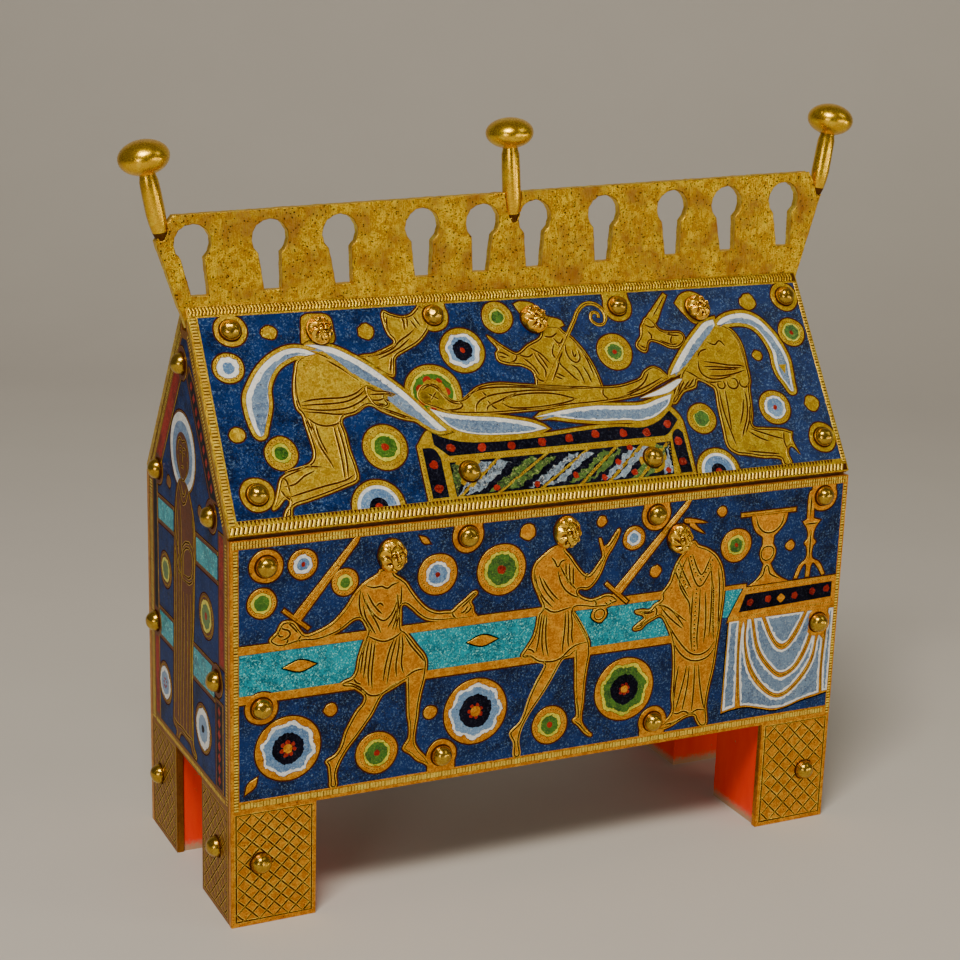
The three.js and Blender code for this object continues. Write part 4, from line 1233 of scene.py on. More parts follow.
RIGHT_BEARER_CUTS = [
    [(123.8, 24), (125.6, 26), (127.6, 28.4)],
    [(124.8, 24.5), (127, 26.4), (129.2, 28.4)],
    [(127, 25.9), (129, 27.2), (130.6, 28.8)],
    [(133.4, 34.6), (134.4, 36), (136.6, 36.6)],
    [(145.4, 40.8), (146.7, 38.4), (147.1, 35), (147, 31.6)],
    [(134.8, 33.2), (138, 32.6), (142, 31.7), (145, 31.4), (146.6, 30.9)],
    [(134.5, 31.8), (138, 31.5), (142, 31), (145.5, 30.7)],
    [(135.5, 31), (140, 30.6), (144.5, 30.4)],
    [(135.6, 29.2), (139, 28.9), (143, 29.2), (146.4, 30)],
    [(133.2, 33.6), (132.9, 31.4), (133.6, 29.6), (135.8, 28.3), (139, 28.2), (143, 28.9)],
    [(128.9, 31), (130.5, 30), (132.3, 28.6), (135, 27.4), (138.6, 27.4)],
    [(137.4, 27.4), (137.2, 26), (138.4, 25.4), (139.3, 26.2), (139, 27.6)],
    [(140.1, 27.6), (140.4, 25.8), (141.9, 25.1), (143.2, 26), (143, 27.6), (141.8, 28)],
    [(143.9, 27.4), (144, 25.8), (145.4, 25.3), (146.4, 26.2)],
    [(137.2, 25.1), (136.9, 21), (137.1, 17), (137.6, 13), (138, 9.8)],
    [(138.9, 25), (138.6, 21), (138.2, 17.5), (137.8, 14)],
    [(144.7, 25), (144.5, 21), (143.3, 17), (141.4, 13.6), (140.4, 11.8)],
    [(143.6, 22), (142.6, 18.8), (140.8, 15.4)],
    [(144.9, 20), (144, 16.6), (141.8, 12.9)],
    [(143.6, 13.8), (146.5, 12.6), (150, 11.2), (153, 10.2)],
    [(142.8, 13.2), (145.4, 11.3), (148, 10.1)],
    [(141, 8), (146, 7.1), (150.2, 6.4)],
    [(153.2, 12.2), (152.6, 9.6), (153, 7.2)],
    [(137.4, 38.4), (139.4, 37.6), (141, 38.6), (142.4, 37)]]
RIGHT_ARM = [
    (119.6, 45), (121.2, 46.6), (123, 45.4), (124.4, 43), (127, 42.2), (130.4, 41.8), (131, 39.6),
    (128.6, 37.6), (126, 37.6), (122.8, 39.3), (120.5, 39.7), (118.6, 36.9), (116.2, 38.9), (118.2, 41.6),
    (118.8, 44)]
RIGHT_ARM_CUTS = [
    [(124.8, 42.2), (127, 41.2), (129.6, 40.8)],
    [(123.6, 39.9), (126.4, 38.6), (128.4, 38.6)],
    [(127.4, 41), (126.6, 39.4), (127, 38)],
    [(120.2, 44.4), (122, 43.6), (123.6, 44)],
    [(120.6, 42.6), (121.4, 41.4), (121, 40.4)],
    [(117.4, 38.9), (118.9, 38)]]


def roof_shrouds(work):
    """The cloth that the two bearers carry: it hangs behind them and swings under the body."""
    shroud(work, [
        (29.5, 42.7, 1), (26.8, 44.1), (23.7, 44.5), (20.7, 43.8), (17.2, 41.9), (14.2, 39.2), (11.9, 36.1),
        (10.3, 33.1), (10.1, 29.2), (10.7, 25.4), (11.5, 23.5), (12.6, 23.5), (13.4, 25.4), (14.7, 28.5),
        (15.5, 31.1), (15.9, 34.6), (17.2, 37.6), (19.5, 40.3), (22.6, 42), (24.9, 42.6), (27.4, 42.4)], 1,
           shade=(0.3, -0.2))
    shroud(work, [
        (27.4, 45.1, 1), (30.6, 44.9), (34.4, 43.8), (38.3, 41.5), (42.1, 38.8), (45.9, 35.3), (49.8, 31.5),
        (53.6, 26.9), (57.4, 22.3), (58.8, 20.8, 1), (56.6, 20.8), (53.6, 22.7), (50.5, 25.8), (47.5, 29.2),
        (45.2, 31.9), (42.1, 34.2), (38.3, 36.9), (34.4, 40.7), (31.4, 43.4)], 0.9, lift=0.02,
           shade=(-0.35, -0.35))
    fold = [(45.4, 30.4), (47.4, 30.7), (49.2, 29.6), (51.6, 26.8), (53.6, 24.2), (51.8, 24.4), (49, 26.2),
            (46.6, 28.4)]
    inlay(work, wound(flow(fold)), 0.022, "cloth")
    shroud(work, [
        (141.1, 42.9, 1), (143.5, 44.7), (147, 45.7), (150.9, 45.7), (154.4, 44), (157.1, 40.8),
        (159, 37.3), (160, 34.2), (160.4, 31.9), (160.2, 28.8), (159.8, 25.6), (159.6, 23.2), (158.8, 23.2),
        (157.9, 25.2), (156.5, 28), (156.1, 30.7), (156.3, 34.2), (155.5, 37.3), (154, 40.3), (152, 42.2),
        (148.9, 43.2), (145, 43.2)], 1, shade=(-0.1, -0.3))
    shroud(work, [
        (140.8, 44.6, 1), (138, 44), (134.9, 41.6), (131.8, 38.9), (128.7, 35.8), (125.6, 32.3),
        (124, 30.2, 1), (126.7, 31.1), (129.5, 33), (133.3, 36.2), (137.2, 39.7),
        (141, 43, 1)], 0.9, lift=0.02,
           shade=(0.35, -0.35))
    reserve(work, flow([(156.9, 30.8, 1), (159.6, 30.8, 1), (158.4, 27.8, 1)]), "roof gilt", 0.03)
    shroud(work, [
        (55.6, 26.6, 1), (60, 25), (66.5, 23.7), (72.2, 23), (78, 21.8), (81.8, 20.8), (85.6, 19, 1),
        (79.9, 18.3), (72.2, 18.5), (66.5, 19.1), (61.9, 20.4), (58.8, 22.7)], 0.9, lift=0.01)
    shroud(work, [
        (83.1, 22.2, 1), (89.4, 23.1), (95.2, 23.6), (100.9, 23.7), (106.7, 23.2), (113.9, 22.9),
        (118.6, 24.1), (122.8, 25.1, 1), (121.4, 22.6), (119.3, 21), (116.2, 19.4), (111.9, 18.8),
        (108.6, 19.3), (100.9, 19.7), (93.3, 20.8), (87.5, 22)], 0.9, lift=0.01)
    shroud(work, [
        (113.5, 24.7, 1), (119.7, 26.6), (125.6, 28.9), (127.2, 29, 1), (125.4, 27.4),
        (121.7, 25.5)], 0.3, lift=0.02)


def streak(work, cell, start, end, glass):
    """A ragged stroke of glass up a slanting cell, from one share of its width to another."""
    low = [cell[0].lerp(cell[1], share) for share in (start, end)]
    high = [cell[3].lerp(cell[2], share) for share in (start, end)]
    line = [low[0].lerp(high[0], 0.04), low[1].lerp(high[1], 0.1)]
    line += [high[1].lerp(low[1], 0.12), high[0].lerp(low[0], 0.06)]
    inlay(work, wander(line, 0.9, 0.6, 0.9), -0.002, glass)


def sarcophagus(work):
    """The chest under the body: black panels with red dots, and slanting strokes of colour between them."""
    body = [(50.1, 3.4, 1), (50.1, 17.4, 1), (54.3, 21.6), (59, 20.6), (66, 18.6), (75, 17.8), (86, 18),
            (100, 18.8), (112, 18.2), (118, 19.6), (121.8, 22, 1), (123.6, 19.6), (124.4, 17.1),
            (124.4, 3.4, 1)]
    reserve(work, flow(body), "roof gilt", -0.02)
    panels = [
        [(54.6, 20.6, 1), (57.6, 19), (63, 17.4), (72, 16.8), (85, 17), (95, 17.6), (105, 17.8), (112, 17),
         (117, 18.2), (121, 20.8, 1), (122.9, 18.2, 1), (119.6, 15), (118, 14.2, 1), (58, 14.2, 1),
         (54.6, 17.4, 1)],
        [(51.4, 4, 1), (51.4, 16.8, 1), (54.4, 16.4), (55.7, 14, 1), (55.7, 4, 1)],
        [(120, 4, 1), (120, 13.8), (122, 15.8), (123.4, 14.6, 1), (123.4, 4, 1)]]
    for panel in panels:
        inlay(work, flow(panel), -0.01, "black")
    slants = ((57, 57), (58.6, 70.8), (69, 84), (80.6, 95.4), (91.5, 103.5), (99.5, 111), (108, 118.6),
              (118.6, 118.6))
    shades = ("green", "sky", "green", "sky", "green", "sky", "green")
    low, high, hem = 3.9, 12.6, 0.6
    for (low0, high0), (low1, high1), shade in zip(slants, slants[1:], shades):
        cell = [Vector((low0 + hem, low)), Vector((low1 - hem, low))]
        cell += [Vector((high1 - hem, high)), Vector((high0 + hem, high))]
        inlay(work, cell, -0.01, "black")
        streak(work, cell, 0.02, 0.36, "mixed " + shade)
        streak(work, cell, 0.66, 0.98, "mixed sky" if shade == "green" else "mixed green")
        punched(work, [(low1, 4.2), (high1, 12.4)], 0.8, 0.22, -0.02)
    for u, v in ((58.8, 16.2), (67, 15.6), (75, 15.4), (83.4, 15.6), (91, 16), (98.5, 16.4), (106.3, 15.9),
                 (113, 15.5), (119.5, 17.2), (53.5, 12.4), (53.5, 6.4), (121.5, 12.5), (121.3, 7)):
        inlay(work, wander(ring(u, v, 1.1), 0.3, 0.4, 2), 0.002, "red")
    for u, v in ((68.5, 5.2), (79.5, 5), (90.5, 6.2), (98.3, 4.9), (103, 8.6), (107, 5.5), (107.2, 12),
                 (116.5, 5.2)):
        inlay(work, wander(ring(u, v, 0.85), 0.3, 0.4, 2), 0.014, "red")
    for line in ([(56.4, 13.3), (118.9, 13.3)], [(50.7, 4), (50.7, 17)], [(123.9, 4), (123.9, 16.8)]):
        punched(work, line, 0.75, 0.24, -0.02)


ROOF_ROSETTES = [
    (7.4, 40.7, 3.8, 0, "white, sky", 2.6, 1.5),
    (16.1, 18.7, 4.1, 0, "yellow, green", 2.5, 1.8),
    (42.1, 18, 5.7, 0, "yellow, green, red", 3.7, 3, 1),
    (67.7, 41, 5.9, 7, "white, sky, black, red", 4.5, 3.6, 2.7, 0.7),
    (79.1, 49.1, 4.2, 0, "yellow, green", 2.4, 1.8),
    (109.6, 37.7, 4.9, 0, "yellow, green, red", 2.9, 2.2, 0.7),
    (129.9, 17.9, 4.1, 0, "yellow, green", 2.5, 2.2),
    (163.8, 39.5, 4, 0, "yellow, green, red", 2.6, 2.1, 0.6),
    (152.6, 19.1, 4.7, 0, "white, sky, red", 3.2, 2.6, 0.7),
    (57.5, 30.5, 7.4, 0, "yellow, green, red, roof gilt", 5.7, 5.1, 4.2, 3.5)]


def roof_rosettes(work):
    """The rosettes and dots strewn over the roof's blue ground."""
    rosettes(work, ROOF_ROSETTES, "roof gilt")
    for u, wide in ((37.4, 1), (131, 0.92)):
        half_rosette(work, u, 3.4, wide)
    for u, v, radius in ((19, 48.9, 1.9), (43.4, 47.6, 2), (6.4, 24.1, 1.9), (152.8, 48.9, 2.4),
                         (164.2, 19.4, 2.1), (151.4, 33.7, 1.4)):
        boss(work, u, v, radius, "roof gilt")


def half_circle(u, v, radius, steps=range(17)):
    """Points of the upper half of a circle, at some or all of 17 equal steps."""
    turns = [math.pi * i / 16 for i in steps]
    return [Vector((u + radius * math.cos(turn), v + radius * math.sin(turn))) for turn in turns]


def half_rosette(work, u, v, size):
    """A rosette cut off by the lower border."""
    reserve(work, half_circle(u, v, 6.8 * size), "roof gilt", -0.012)
    for step, (radius, glass) in enumerate(((5.4, "white"), (4.6, "sky"), (2.4, "black"), (1, "red"))):
        inlay(work, half_circle(u, v, radius * size), -0.002 + LAYER * step, glass)
    punched(work, half_circle(u, v, 6.1 * size, range(1, 16)), 0.8, 0.24, -0.012)


def crozier(work):
    """The bishop's staff with its curled crook."""
    curl = [(87.9, 30.6), (92, 36), (96, 41.2), (100.2, 46.8), (102, 49.4), (104.6, 51.2), (107.6, 50.8),
            (109.4, 48.4), (108.8, 45.8), (106.8, 45.3), (105.2, 46.8), (105.8, 48.6), (107.4, 48.4),
            (107.4, 47.2)]
    line = flow(curl, False, 5)
    last = len(line) - 1
    left, right = [], []
    for i, spot in enumerate(line):
        run = (line[min(i + 1, last)] - line[max(i - 1, 0)]).normalized()
        side = Vector((-run.y, run.x)) * (0.55 if i < last * 0.6 else 0.42)
        left.append(spot + side)
        right.append(spot - side)
    for part in (slice(0, last // 2 + 1), slice(last // 2, last + 1)):
        reserve(work, left[part] + right[part][::-1], "roof gilt", 0.02, 0.12)
    engrave(work, line, 0.55, 0.02, 0)


def roof_border(work):
    """The toothed lower border, the roped top border and the ribbed ends of a roof plate."""
    bar_pitch, tooth_pitch, rope_pitch = 1.1, 0.95, 0.85
    bed(work, slab(0.4, 0.25, LENGTH - 0.4, 2), "groove")
    for i in range(int((LENGTH - 1.2) / bar_pitch)):
        u = 0.8 + i * bar_pitch
        rib(work, Vector((u - 0.22, 0.3)), Vector((u + 0.42, 1.95)), 0.33, 0, 0.1)
    for i in range(int((LENGTH - 6) / tooth_pitch)):
        u = 2.8 + i * tooth_pitch
        tooth = [Vector((u - 0.34, 3.35)), Vector((u, 2.25)), Vector((u + 0.34, 3.35))]
        raised(work, tooth, -0.2, 0.012, "groove", bevel=0.005)
    top = SLOPE - 0.25
    bed(work, slab(0.4, top - 2.3, LENGTH - 0.4, top))
    for i in range(int((LENGTH - 1.2) / rope_pitch)):
        u = 0.9 + i * rope_pitch
        rib(work, Vector((u - 0.25, top - 2.2)), Vector((u + 0.2, top - 1.2)), 0.27, 0, 0.07, "roof gilt")
        rib(work, Vector((u + 0.2, top - 1.1)), Vector((u - 0.25, top - 0.1)), 0.27, 0, 0.07, "roof gilt")
    hatch(work, (1.1, 2.4), (1.1, top - 2.5), 0.72, 0.8)
    hatch(work, (LENGTH - 0.75, 2.4), (LENGTH - 0.75, top - 2.5), 0.5, 0.8)


def roof_plate():
    """A bishop blesses a shrouded body, which two bearers lower into its coffin."""
    work = Work("roof_front_plate", ROOF)
    window = slab(2.3, 3.5, LENGTH - 1.4, SLOPE - 3)
    copper(work, "plate_roof_front", window, "roof gilt")
    roof_border(work)
    nail_grounds(work, "nail_roof", ((61.9, SLOPE), (113.6, SLOPE)), "roof gilt")
    roof_rosettes(work)
    figure(work, LEFT_ARM, LEFT_ARM_CUTS, "roof gilt", 0.5, -0.02)
    figure(work, LEFT_BEARER, LEFT_BEARER_CUTS, "roof gilt", 0.55, -0.01)
    figure(work, RIGHT_ARM, RIGHT_ARM_CUTS, "roof gilt", 0.45, -0.02)
    candle = [(120.8, 45.4), (123.4, 48.6), (127.9, 52.9, 1), (128.9, 52.2, 1), (126.4, 48.6), (123.2, 44.4)]
    reserve(work, flow(candle), "roof gilt", -0.01)
    engrave(work, [(123, 46.4), (125.4, 49), (128, 52)], 0.7, -0.01)
    hood = [(130.6, 49.9, 1), (133, 52.2), (136.2, 52.9), (139.2, 51), (139.4, 45.6), (135.4, 43.8),
            (132.4, 47)]
    reserve(work, flow(hood), "roof gilt", -0.02)
    tufts = [
        [(84.4, 52.4, 1), (86.6, 53), (90.4, 51.4), (88.4, 47), (85.8, 49.6)],
        [(92.6, 48.6, 1), (96.4, 47.3), (97.2, 45.8, 1), (93.4, 44.9)],
        [(26.5, 45.6, 1), (27.3, 50), (28.2, 52.6), (31.4, 53), (34.8, 52.2), (35.3, 49), (34.7, 45.4),
         (30.4, 44.4)]]
    for tuft in tufts:
        reserve(work, flow(tuft), "roof gilt", -0.02)
    figure(work, RIGHT_BEARER, RIGHT_BEARER_CUTS, "roof gilt", 0.55, -0.01)
    sarcophagus(work)
    figure(work, BISHOP, BISHOP_CUTS, "roof gilt", 0.5, -0.015)
    roof_shrouds(work)
    figure(work, BODY_OF_SAINT, BODY_CUTS, "roof gilt", 0.45, 0.02)
    figure(work, LEFT_HAND, LEFT_HAND_CUTS, "roof gilt", 0.4, 0.03)
    crozier(work)
    work.piece("enamelled_copper", "plate_roof_front")


# -------------------- end plates: a standing saint

SAINT = [
    (28.2, 102.4), (25.6, 99.6), (24, 95), (23.2, 88), (22.4, 80), (22, 70), (21.6, 60), (21, 50),
    (20.6, 40), (20.4, 35.6), (23, 34.6), (22.4, 32.6, 1), (25, 32.6, 1), (27, 35), (31, 35.2),
    (34.6, 34.8), (36, 33.2), (39.4, 32.7, 1), (39.8, 34), (37.6, 35.8), (37.2, 40), (37, 50), (37.4, 60),
    (38.6, 70), (39.4, 80), (40.2, 88), (39.6, 94), (37.2, 98.6), (33.6, 102.4)]
SAINT_CUTS = [
    [(25.2, 96), (26, 90), (26.4, 80), (26.2, 70), (25.6, 58), (25, 46), (24.6, 37)],
    [(23.8, 84), (24, 76), (23.8, 66), (23.2, 54), (22.6, 42)],
    [(28, 97), (28.8, 90), (28.6, 82), (28, 70), (27.4, 56), (26.8, 46), (26.6, 37.4)],
    [(30.2, 74), (30.4, 66), (29.8, 56), (29, 46), (28.8, 37.2)],
    [(33, 74.4), (33.2, 66), (32.6, 56), (31.8, 46), (31.4, 37.2)],
    [(35.6, 75), (35.8, 68), (35.2, 58), (34.4, 47), (34, 37.2)],
    [(38, 78), (37.4, 70), (36.4, 60), (35.9, 48), (36, 38)],
    [(29.4, 77), (37.4, 78.6), (38, 87), (30, 85.6), (29.3, 77.2)],
    [(30.4, 78.4), (36.4, 79.6), (36.9, 85.8), (31, 84.7), (30.4, 78.6)],
    [(24.2, 88), (26.4, 83), (29, 80.2)],
    [(23.6, 84), (26, 79), (29.2, 77.2)],
    [(37.8, 95), (38.6, 91), (38.2, 87.4)],
    [(28.8, 101.4), (31, 98.6), (33.4, 101.4)],
    [(27.4, 100.4), (30.8, 96.4), (34.8, 100.2)],
    [(20.9, 37.4), (24, 36.6), (28, 37), (32.6, 36.7), (37, 37.2)]]
SAINT_FACE = [
    [(28.5, 108.9), (29.2, 109.2), (29.9, 108.9)],
    [(31.5, 108.9), (32.2, 109.2), (32.9, 108.9)],
    [(28.3, 110.2), (29.3, 110.6), (30.3, 110.2), (30.5, 108.4), (30.3, 107.2), (31, 106.9)],
    [(31.2, 110.2), (32.2, 110.6), (33.2, 110.2)],
    [(29.7, 105.6), (30.7, 105.8), (31.7, 105.6)],
    [(27, 108), (27.6, 105), (29.2, 103), (30.7, 102.4), (32.2, 103), (33.9, 105), (34.4, 108)],
    [(26.6, 109), (27.4, 111.6), (29, 112.6), (30.7, 112), (32.4, 112.6), (34, 111.6), (34.8, 109)]]


END_ROSETTES = [
    (15.5, 75, 4.7, 0, "yellow, green", 3.5, 2.6),
    (48, 73.5, 5.6, 0, "yellow, green, red", 4.2, 3.3, 1),
    (13.9, 44, 5.4, 0, "white, sky, red", 4.2, 3.2, 1.4),
    (45, 43.5, 6.2, 0, "white, sky, black", 5, 3.4, 1.1)]


def band(work, outline, glass, marks=None, hem=0.8):
    """A strip of enamel in a thin gilt frame, with diamonds of a second colour along it."""
    line = wound(flow(outline))
    reserve(work, inset(line, -hem), "worn_gilt_and_painted_shade", -0.02)
    inlay(work, line, -0.01, glass)
    if marks:
        start, end, count, size = marks
        for i in range(count):
            spot = Vector(start).lerp(Vector(end), (i + 0.5) / count)
            diamond = [spot + Vector(way) * size for way in ((1, 0), (0, 1.3), (-1, 0), (0, -1.3))]
            inlay(work, diamond, 0.002, "red")


def end_plate():
    """The left end's plate. The right end's is the same work, turned over."""
    work = Work("left_end_plate", LEFT)
    eaves = 98.2
    window = [(5.2, 32.5), (61.7, 32.5), (61.7, eaves - 1), (34.9, 137.6), (31.1, 137.6), (5.2, eaves)]
    window = [Vector(spot) for spot in window]
    copper(work, "plate_left", window, "end gilt in painted shade", "end blue")
    hatch(work, (3.7, HEM + 0.4), (3.7, eaves - 2.4), 1.2, 0.8)
    hatch(work, (62.9, HEM + 0.4), (62.9, eaves - 2.4), 0.6, 0.8)
    hatch(work, (5.4, HEM + 0.8), (61.4, HEM + 0.8), 0.6, 0.8)
    hatch(work, (5, eaves + 1.6), (30.2, 138.9), 0.7, 0.8)
    hatch(work, (35.8, 138.9), (61.2, eaves + 1.4), 0.7, 0.8)
    for cell in ((9.8, 87, 22.4, 92.4), (40.8, 85.2, 56.6, 91.2), (9.8, 56.2, 21.2, 62.6),
                 (37.6, 54.8, 53.8, 62.4)):
        inlay(work, slab(*cell), -0.05, "turquoise")
        for edge in (cell[1] - 0.55, cell[3] + 0.55):
            reserve(work, slab(cell[0] - 0.6, edge - 0.5, cell[2] + 0.6, edge + 0.5), "worn_gilt_and_painted_shade", -0.02)
    band(work, [(5.9, 57.6, 1), (8.4, 57.6, 1), (8.4, 96.6, 1), (5.9, 96.6, 1)], "black")
    band(work, [(5.9, 33.2, 1), (8.4, 33.2, 1), (8.4, 55.4, 1), (5.9, 55.4, 1)], "red")
    band(work, [(58.2, 65, 1), (61, 65, 1), (61, 96.6, 1), (58.2, 96.6, 1)], "red")
    band(work, [(55.4, 33.2, 1), (59.6, 33.2, 1), (59.6, 54.6, 1), (55.4, 54.6, 1)], "black",
         ((57.5, 33.6), (57.5, 54.2), 7, 1.1))
    band(work, [(8.4, 103.4, 1), (12.8, 103.4, 1), (29.6, 128, 1), (27, 131, 1)], "red")
    band(work, [(36.6, 130.6, 1), (40.2, 127.6, 1), (56.4, 104, 1), (52, 104, 1), (35.2, 128.6, 1)], "black",
         ((37.2, 128.6), (53.6, 105), 9, 1))
    halo = ring(30.7, 109.4, 9.6, tall=1.02)
    reserve(work, inset(wound(halo), -0.5), "worn_gilt_and_painted_shade", -0.02)
    inlay(work, halo, -0.012, "white")
    inlay(work, ring(30.7, 109.2, 7.9), -0.006, "sky")
    reserve(work, ring(30.7, 108.6, 5.5, tall=1.08), "worn_gilt_and_painted_shade", 0)
    for cut in SAINT_FACE:
        engrave(work, cut, 0.85)
    rosettes(work, END_ROSETTES, "worn_gilt_and_painted_shade")
    for u, v in ((44, 98), (19, 99)):
        boss(work, u, v, 1.6, "end gilt in painted shade")
    nail_grounds(work, "nail_left", (), "worn_gilt_and_painted_shade")
    figure(work, SAINT, SAINT_CUTS, "worn_gilt_and_painted_shade", 0.6)
    wide = foot_width(work, "plate_left")
    low, high = LEFT.reach("plate_left")
    for u in (low.x, high.x - wide):
        lozenges(work, u + 1.1, 1.4, u + wide - 1.1, HEM - 1.4)
    work.piece("enamelled_copper", "plate_left")
    turned_over(work, "right_end_plate").piece("enamelled_copper", "plate_right")


def turned_over(work, name):
    """The same work on the opposite end of the casket."""
    other = Work(name)
    other.points = [Vector((-point.x, point.y, point.z)) for point in work.points]
    other.faces = [face[::-1] for face in work.faces]
    other.used, other.which = work.used, work.which
    return other


# -------------------- back: roundels on blue

def roundel(work, u, v, radius, first, second, finish):
    """A gilt disc with a four-lobed flower of enamel."""
    reserve(work, ring(u, v, radius), finish, -0.01)
    scribe(work, ring(u, v, radius - 0.8), -0.01)
    for step, (share, glass, lobes, depth) in enumerate((
            (0.76, first, 4, 0.13), (0.63, second, 4, 0.15), (0.44, "white", 4, 0.1), (0.36, "sky", 4, 0.08),
            (0.2, "red", 0, 0), (0.12, finish, 0, 0))):
        line = ring(u, v, radius * share, lobes, depth, turn=0)
        if step == 0:
            inlay(work, inset(wound(line), -SEAM), -0.006, "groove")
        inlay(work, line, 0.002 + LAYER * step, glass)
    for i in range(4):
        angle = TAU * (i + 0.5) / 4
        punch(work, u + radius * 0.8 * math.cos(angle), v + radius * 0.8 * math.sin(angle), 0.4, -0.01)


def back_plates():
    """The two plates of the back, wall and roof."""
    work = Work("back_plate", BACK)
    window = slab(BORDER, SILL, LENGTH - BORDER, WALL - BORDER)
    copper(work, "plate_back", window, "gilt")
    hatch(work, (0.4, WALL - 1), (LENGTH - 0.4, WALL - 1), 0.8, 0.8)
    hatch(work, (1.1, HEM), (1.1, WALL - 2.3), 0.55, 0.8)
    hatch(work, (LENGTH - 1.1, HEM), (LENGTH - 1.1, WALL - 2.3), 0.55, 0.8)
    hatch(work, (2.4, 31.4), (LENGTH - 2.4, 31.4), 0.8, 0.85)
    nail_grounds(work, "nail_back", ())
    flowers(work, 48.2, 80.4, "gilt")
    foot = foot_width(work, "plate_back")
    for u in (0, LENGTH - foot):
        lozenges(work, u + 1.2, 1.4, u + foot - 1.2, HEM - 1)
    work.piece("enamelled_copper", "plate_back")
    work = Work("roof_back_plate", ROOF_BACK)
    copper(work, "plate_roof_back", slab(2.3, 3.5, LENGTH - 2.3, SLOPE - 3), "roof gilt")
    roof_border(work)
    flowers(work, 16.6, 41.2, "roof gilt")
    work.piece("enamelled_copper", "plate_roof_back")


def flowers(work, low, high, finish):
    """Two staggered rows of roundels, with small dots between."""
    pitch = 31.5
    pairs = (("yellow", "green"), ("turquoise", "blue"), ("white", "turquoise"))
    for row, v in enumerate((low, high)):
        for i in range(5 - row):
            u = LENGTH / 2 + (i - (4 - row) / 2) * pitch
            roundel(work, u, v, 10.4, *pairs[(i + row) % 3], finish)
        for i in range(6 - row):
            boss(work, LENGTH / 2 + (i - (5 - row) / 2) * pitch, v + (3 if row else -3), 1.7, finish)


# -------------------- castings, crest, legs

def dome(work, u, v, radius, top, seed):
    """A nail's head: a low dome, a little flattened here and there by the hammer."""
    sides = 24
    ways = [Vector((math.cos(TAU * i / sides), math.sin(TAU * i / sides))) for i in range(sides)]
    rows = []
    for reach, lift in ((radius + 0.28, 0.005), (radius - 0.1, 0.1)):
        rows.append([work.face.at(*(Vector((u, v)) + way * reach), lift) for way in ways])
    for step in range(10):
        tilt = (0.05 + 0.95 * step / 9) * math.pi / 2
        reach = radius * math.cos(tilt) ** 0.9 if step < 9 else 0.0
        row = []
        for way in ways:
            spot = way * reach
            beat = noise.noise(Vector((spot.x * 0.45 + seed * 7, spot.y * 0.45, seed)))
            lift = (top - 0.05) * math.sin(tilt) * (1 + 0.1 * beat) - 0.12 * abs(beat)
            row.append(work.face.at(u + spot.x, v + spot.y, min(lift, top)))
        rows.append(row)
    # The two outer rows, a ring round the foot of the dome, take the dark grime finish as painted shadow of
    # the head.
    work.grid(rows[:-1], ["groove"] * 2 + ["nail"] * 9, closed=True)
    work.add(rows[-2] + [rows[-1][0]], [(i, (i + 1) % sides, sides) for i in range(sides)], "nail")


def nails(name, face):
    """All the nail heads of one side. The unseen end gets the left end's, turned over."""
    nodes = sorted(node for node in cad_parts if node.startswith("nail_" + name + "_"))
    work = Work("nails_" + name, face)
    for count, node in enumerate(nodes):
        low, high = face.reach(node)
        dome(work, (low.x + high.x) / 2, (low.y + high.y) / 2, (high.x - low.x) / 2, high.z, count)
    work.piece("cast_gilt", *nodes, crease=60)
    if name == "left":
        turned_over(work, "nails_right").piece("cast_gilt", crease=60)


def bump(x, y, at_x, at_y, wide, tall):
    """A soft mound, 1 high at its middle."""
    return math.exp(-((x - at_x) / wide) ** 2 - ((y - at_y) / tall) ** 2)


def ease(value, low, high):
    """0 below low, 1 above high, and smooth between; low may be the larger one."""
    t = max(0.0, min(1.0, (value - low) / (high - low)))
    return t * t * (3 - 2 * t)


def face_relief(x, y, bearded, seed):
    """Height of a cast head: locks of hair round a calm, evenly proportioned face, a little turned.

    x and y run from -1 to 1 over its oval. A share of the half width or half height places each feature.
    """
    radius = math.hypot(x, y)
    height = 1.55 * max(0.0, 1 - radius ** 2.6) ** 0.5
    lock = math.cos(math.atan2(x - 0.1, y + 0.15) * 9 + math.sin(radius * 6 + seed) * 0.9 + seed)
    x = (x - 0.2) / 0.92
    side = abs(x)
    oval = math.hypot(x / 0.62, (y + 0.13) / 0.83)
    face = 1 - ease(oval, 0.88, 1.02)
    height += (1 - face) * (0.34 + 0.2 * lock) * ease(radius, 1.02, 0.9)
    form = 0.3 * max(0.0, 1 - oval ** 2) ** 0.5
    form += 0.2 * bump(side, y, 0.27, 0.27 - 0.5 * (side - 0.25) ** 2, 0.2, 0.055)
    form -= 0.36 * bump(side, y, 0.27, 0.12, 0.19, 0.105)
    form += 0.36 * bump(side, y, 0.265, 0.115, 0.115, 0.055)
    down = max(0.0, min(1.0, (0.3 - y) / 0.48))
    nose = ease(y, -0.27, -0.17) * ease(y, 0.42, 0.24)
    form += nose * (0.2 + 0.42 * down) * bump(x, 0, 0, 0, 0.065 + 0.055 * down, 1)
    form += 0.12 * bump(side, y, 0.115, -0.19, 0.05, 0.05)
    form += 0.12 * bump(side, y, 0.36, -0.12, 0.16, 0.17)
    form += 0.2 * bump(x, y, 0, -0.4, 0.19, 0.038) + 0.22 * bump(x, y, 0, -0.52, 0.15, 0.042)
    form -= 0.24 * bump(x, y, 0, -0.46, 0.22, 0.02) + 0.12 * bump(x, y, 0, -0.6, 0.14, 0.035)
    form += 0.24 * bump(x, y, 0, -0.74, 0.18, 0.09)
    if bearded:
        jaw = ease(0.55 * side ** 1.4 - y, 0.42, 0.58) * (1 - bump(x, y, 0, -0.45, 0.24, 0.1))
        form += jaw * (0.2 + 0.08 * math.cos(x * 15 + math.sin(y * 9) * 0.8))
        form += 0.12 * bump(side, y, 0.14, -0.33, 0.13, 0.035)
    return height + face * form


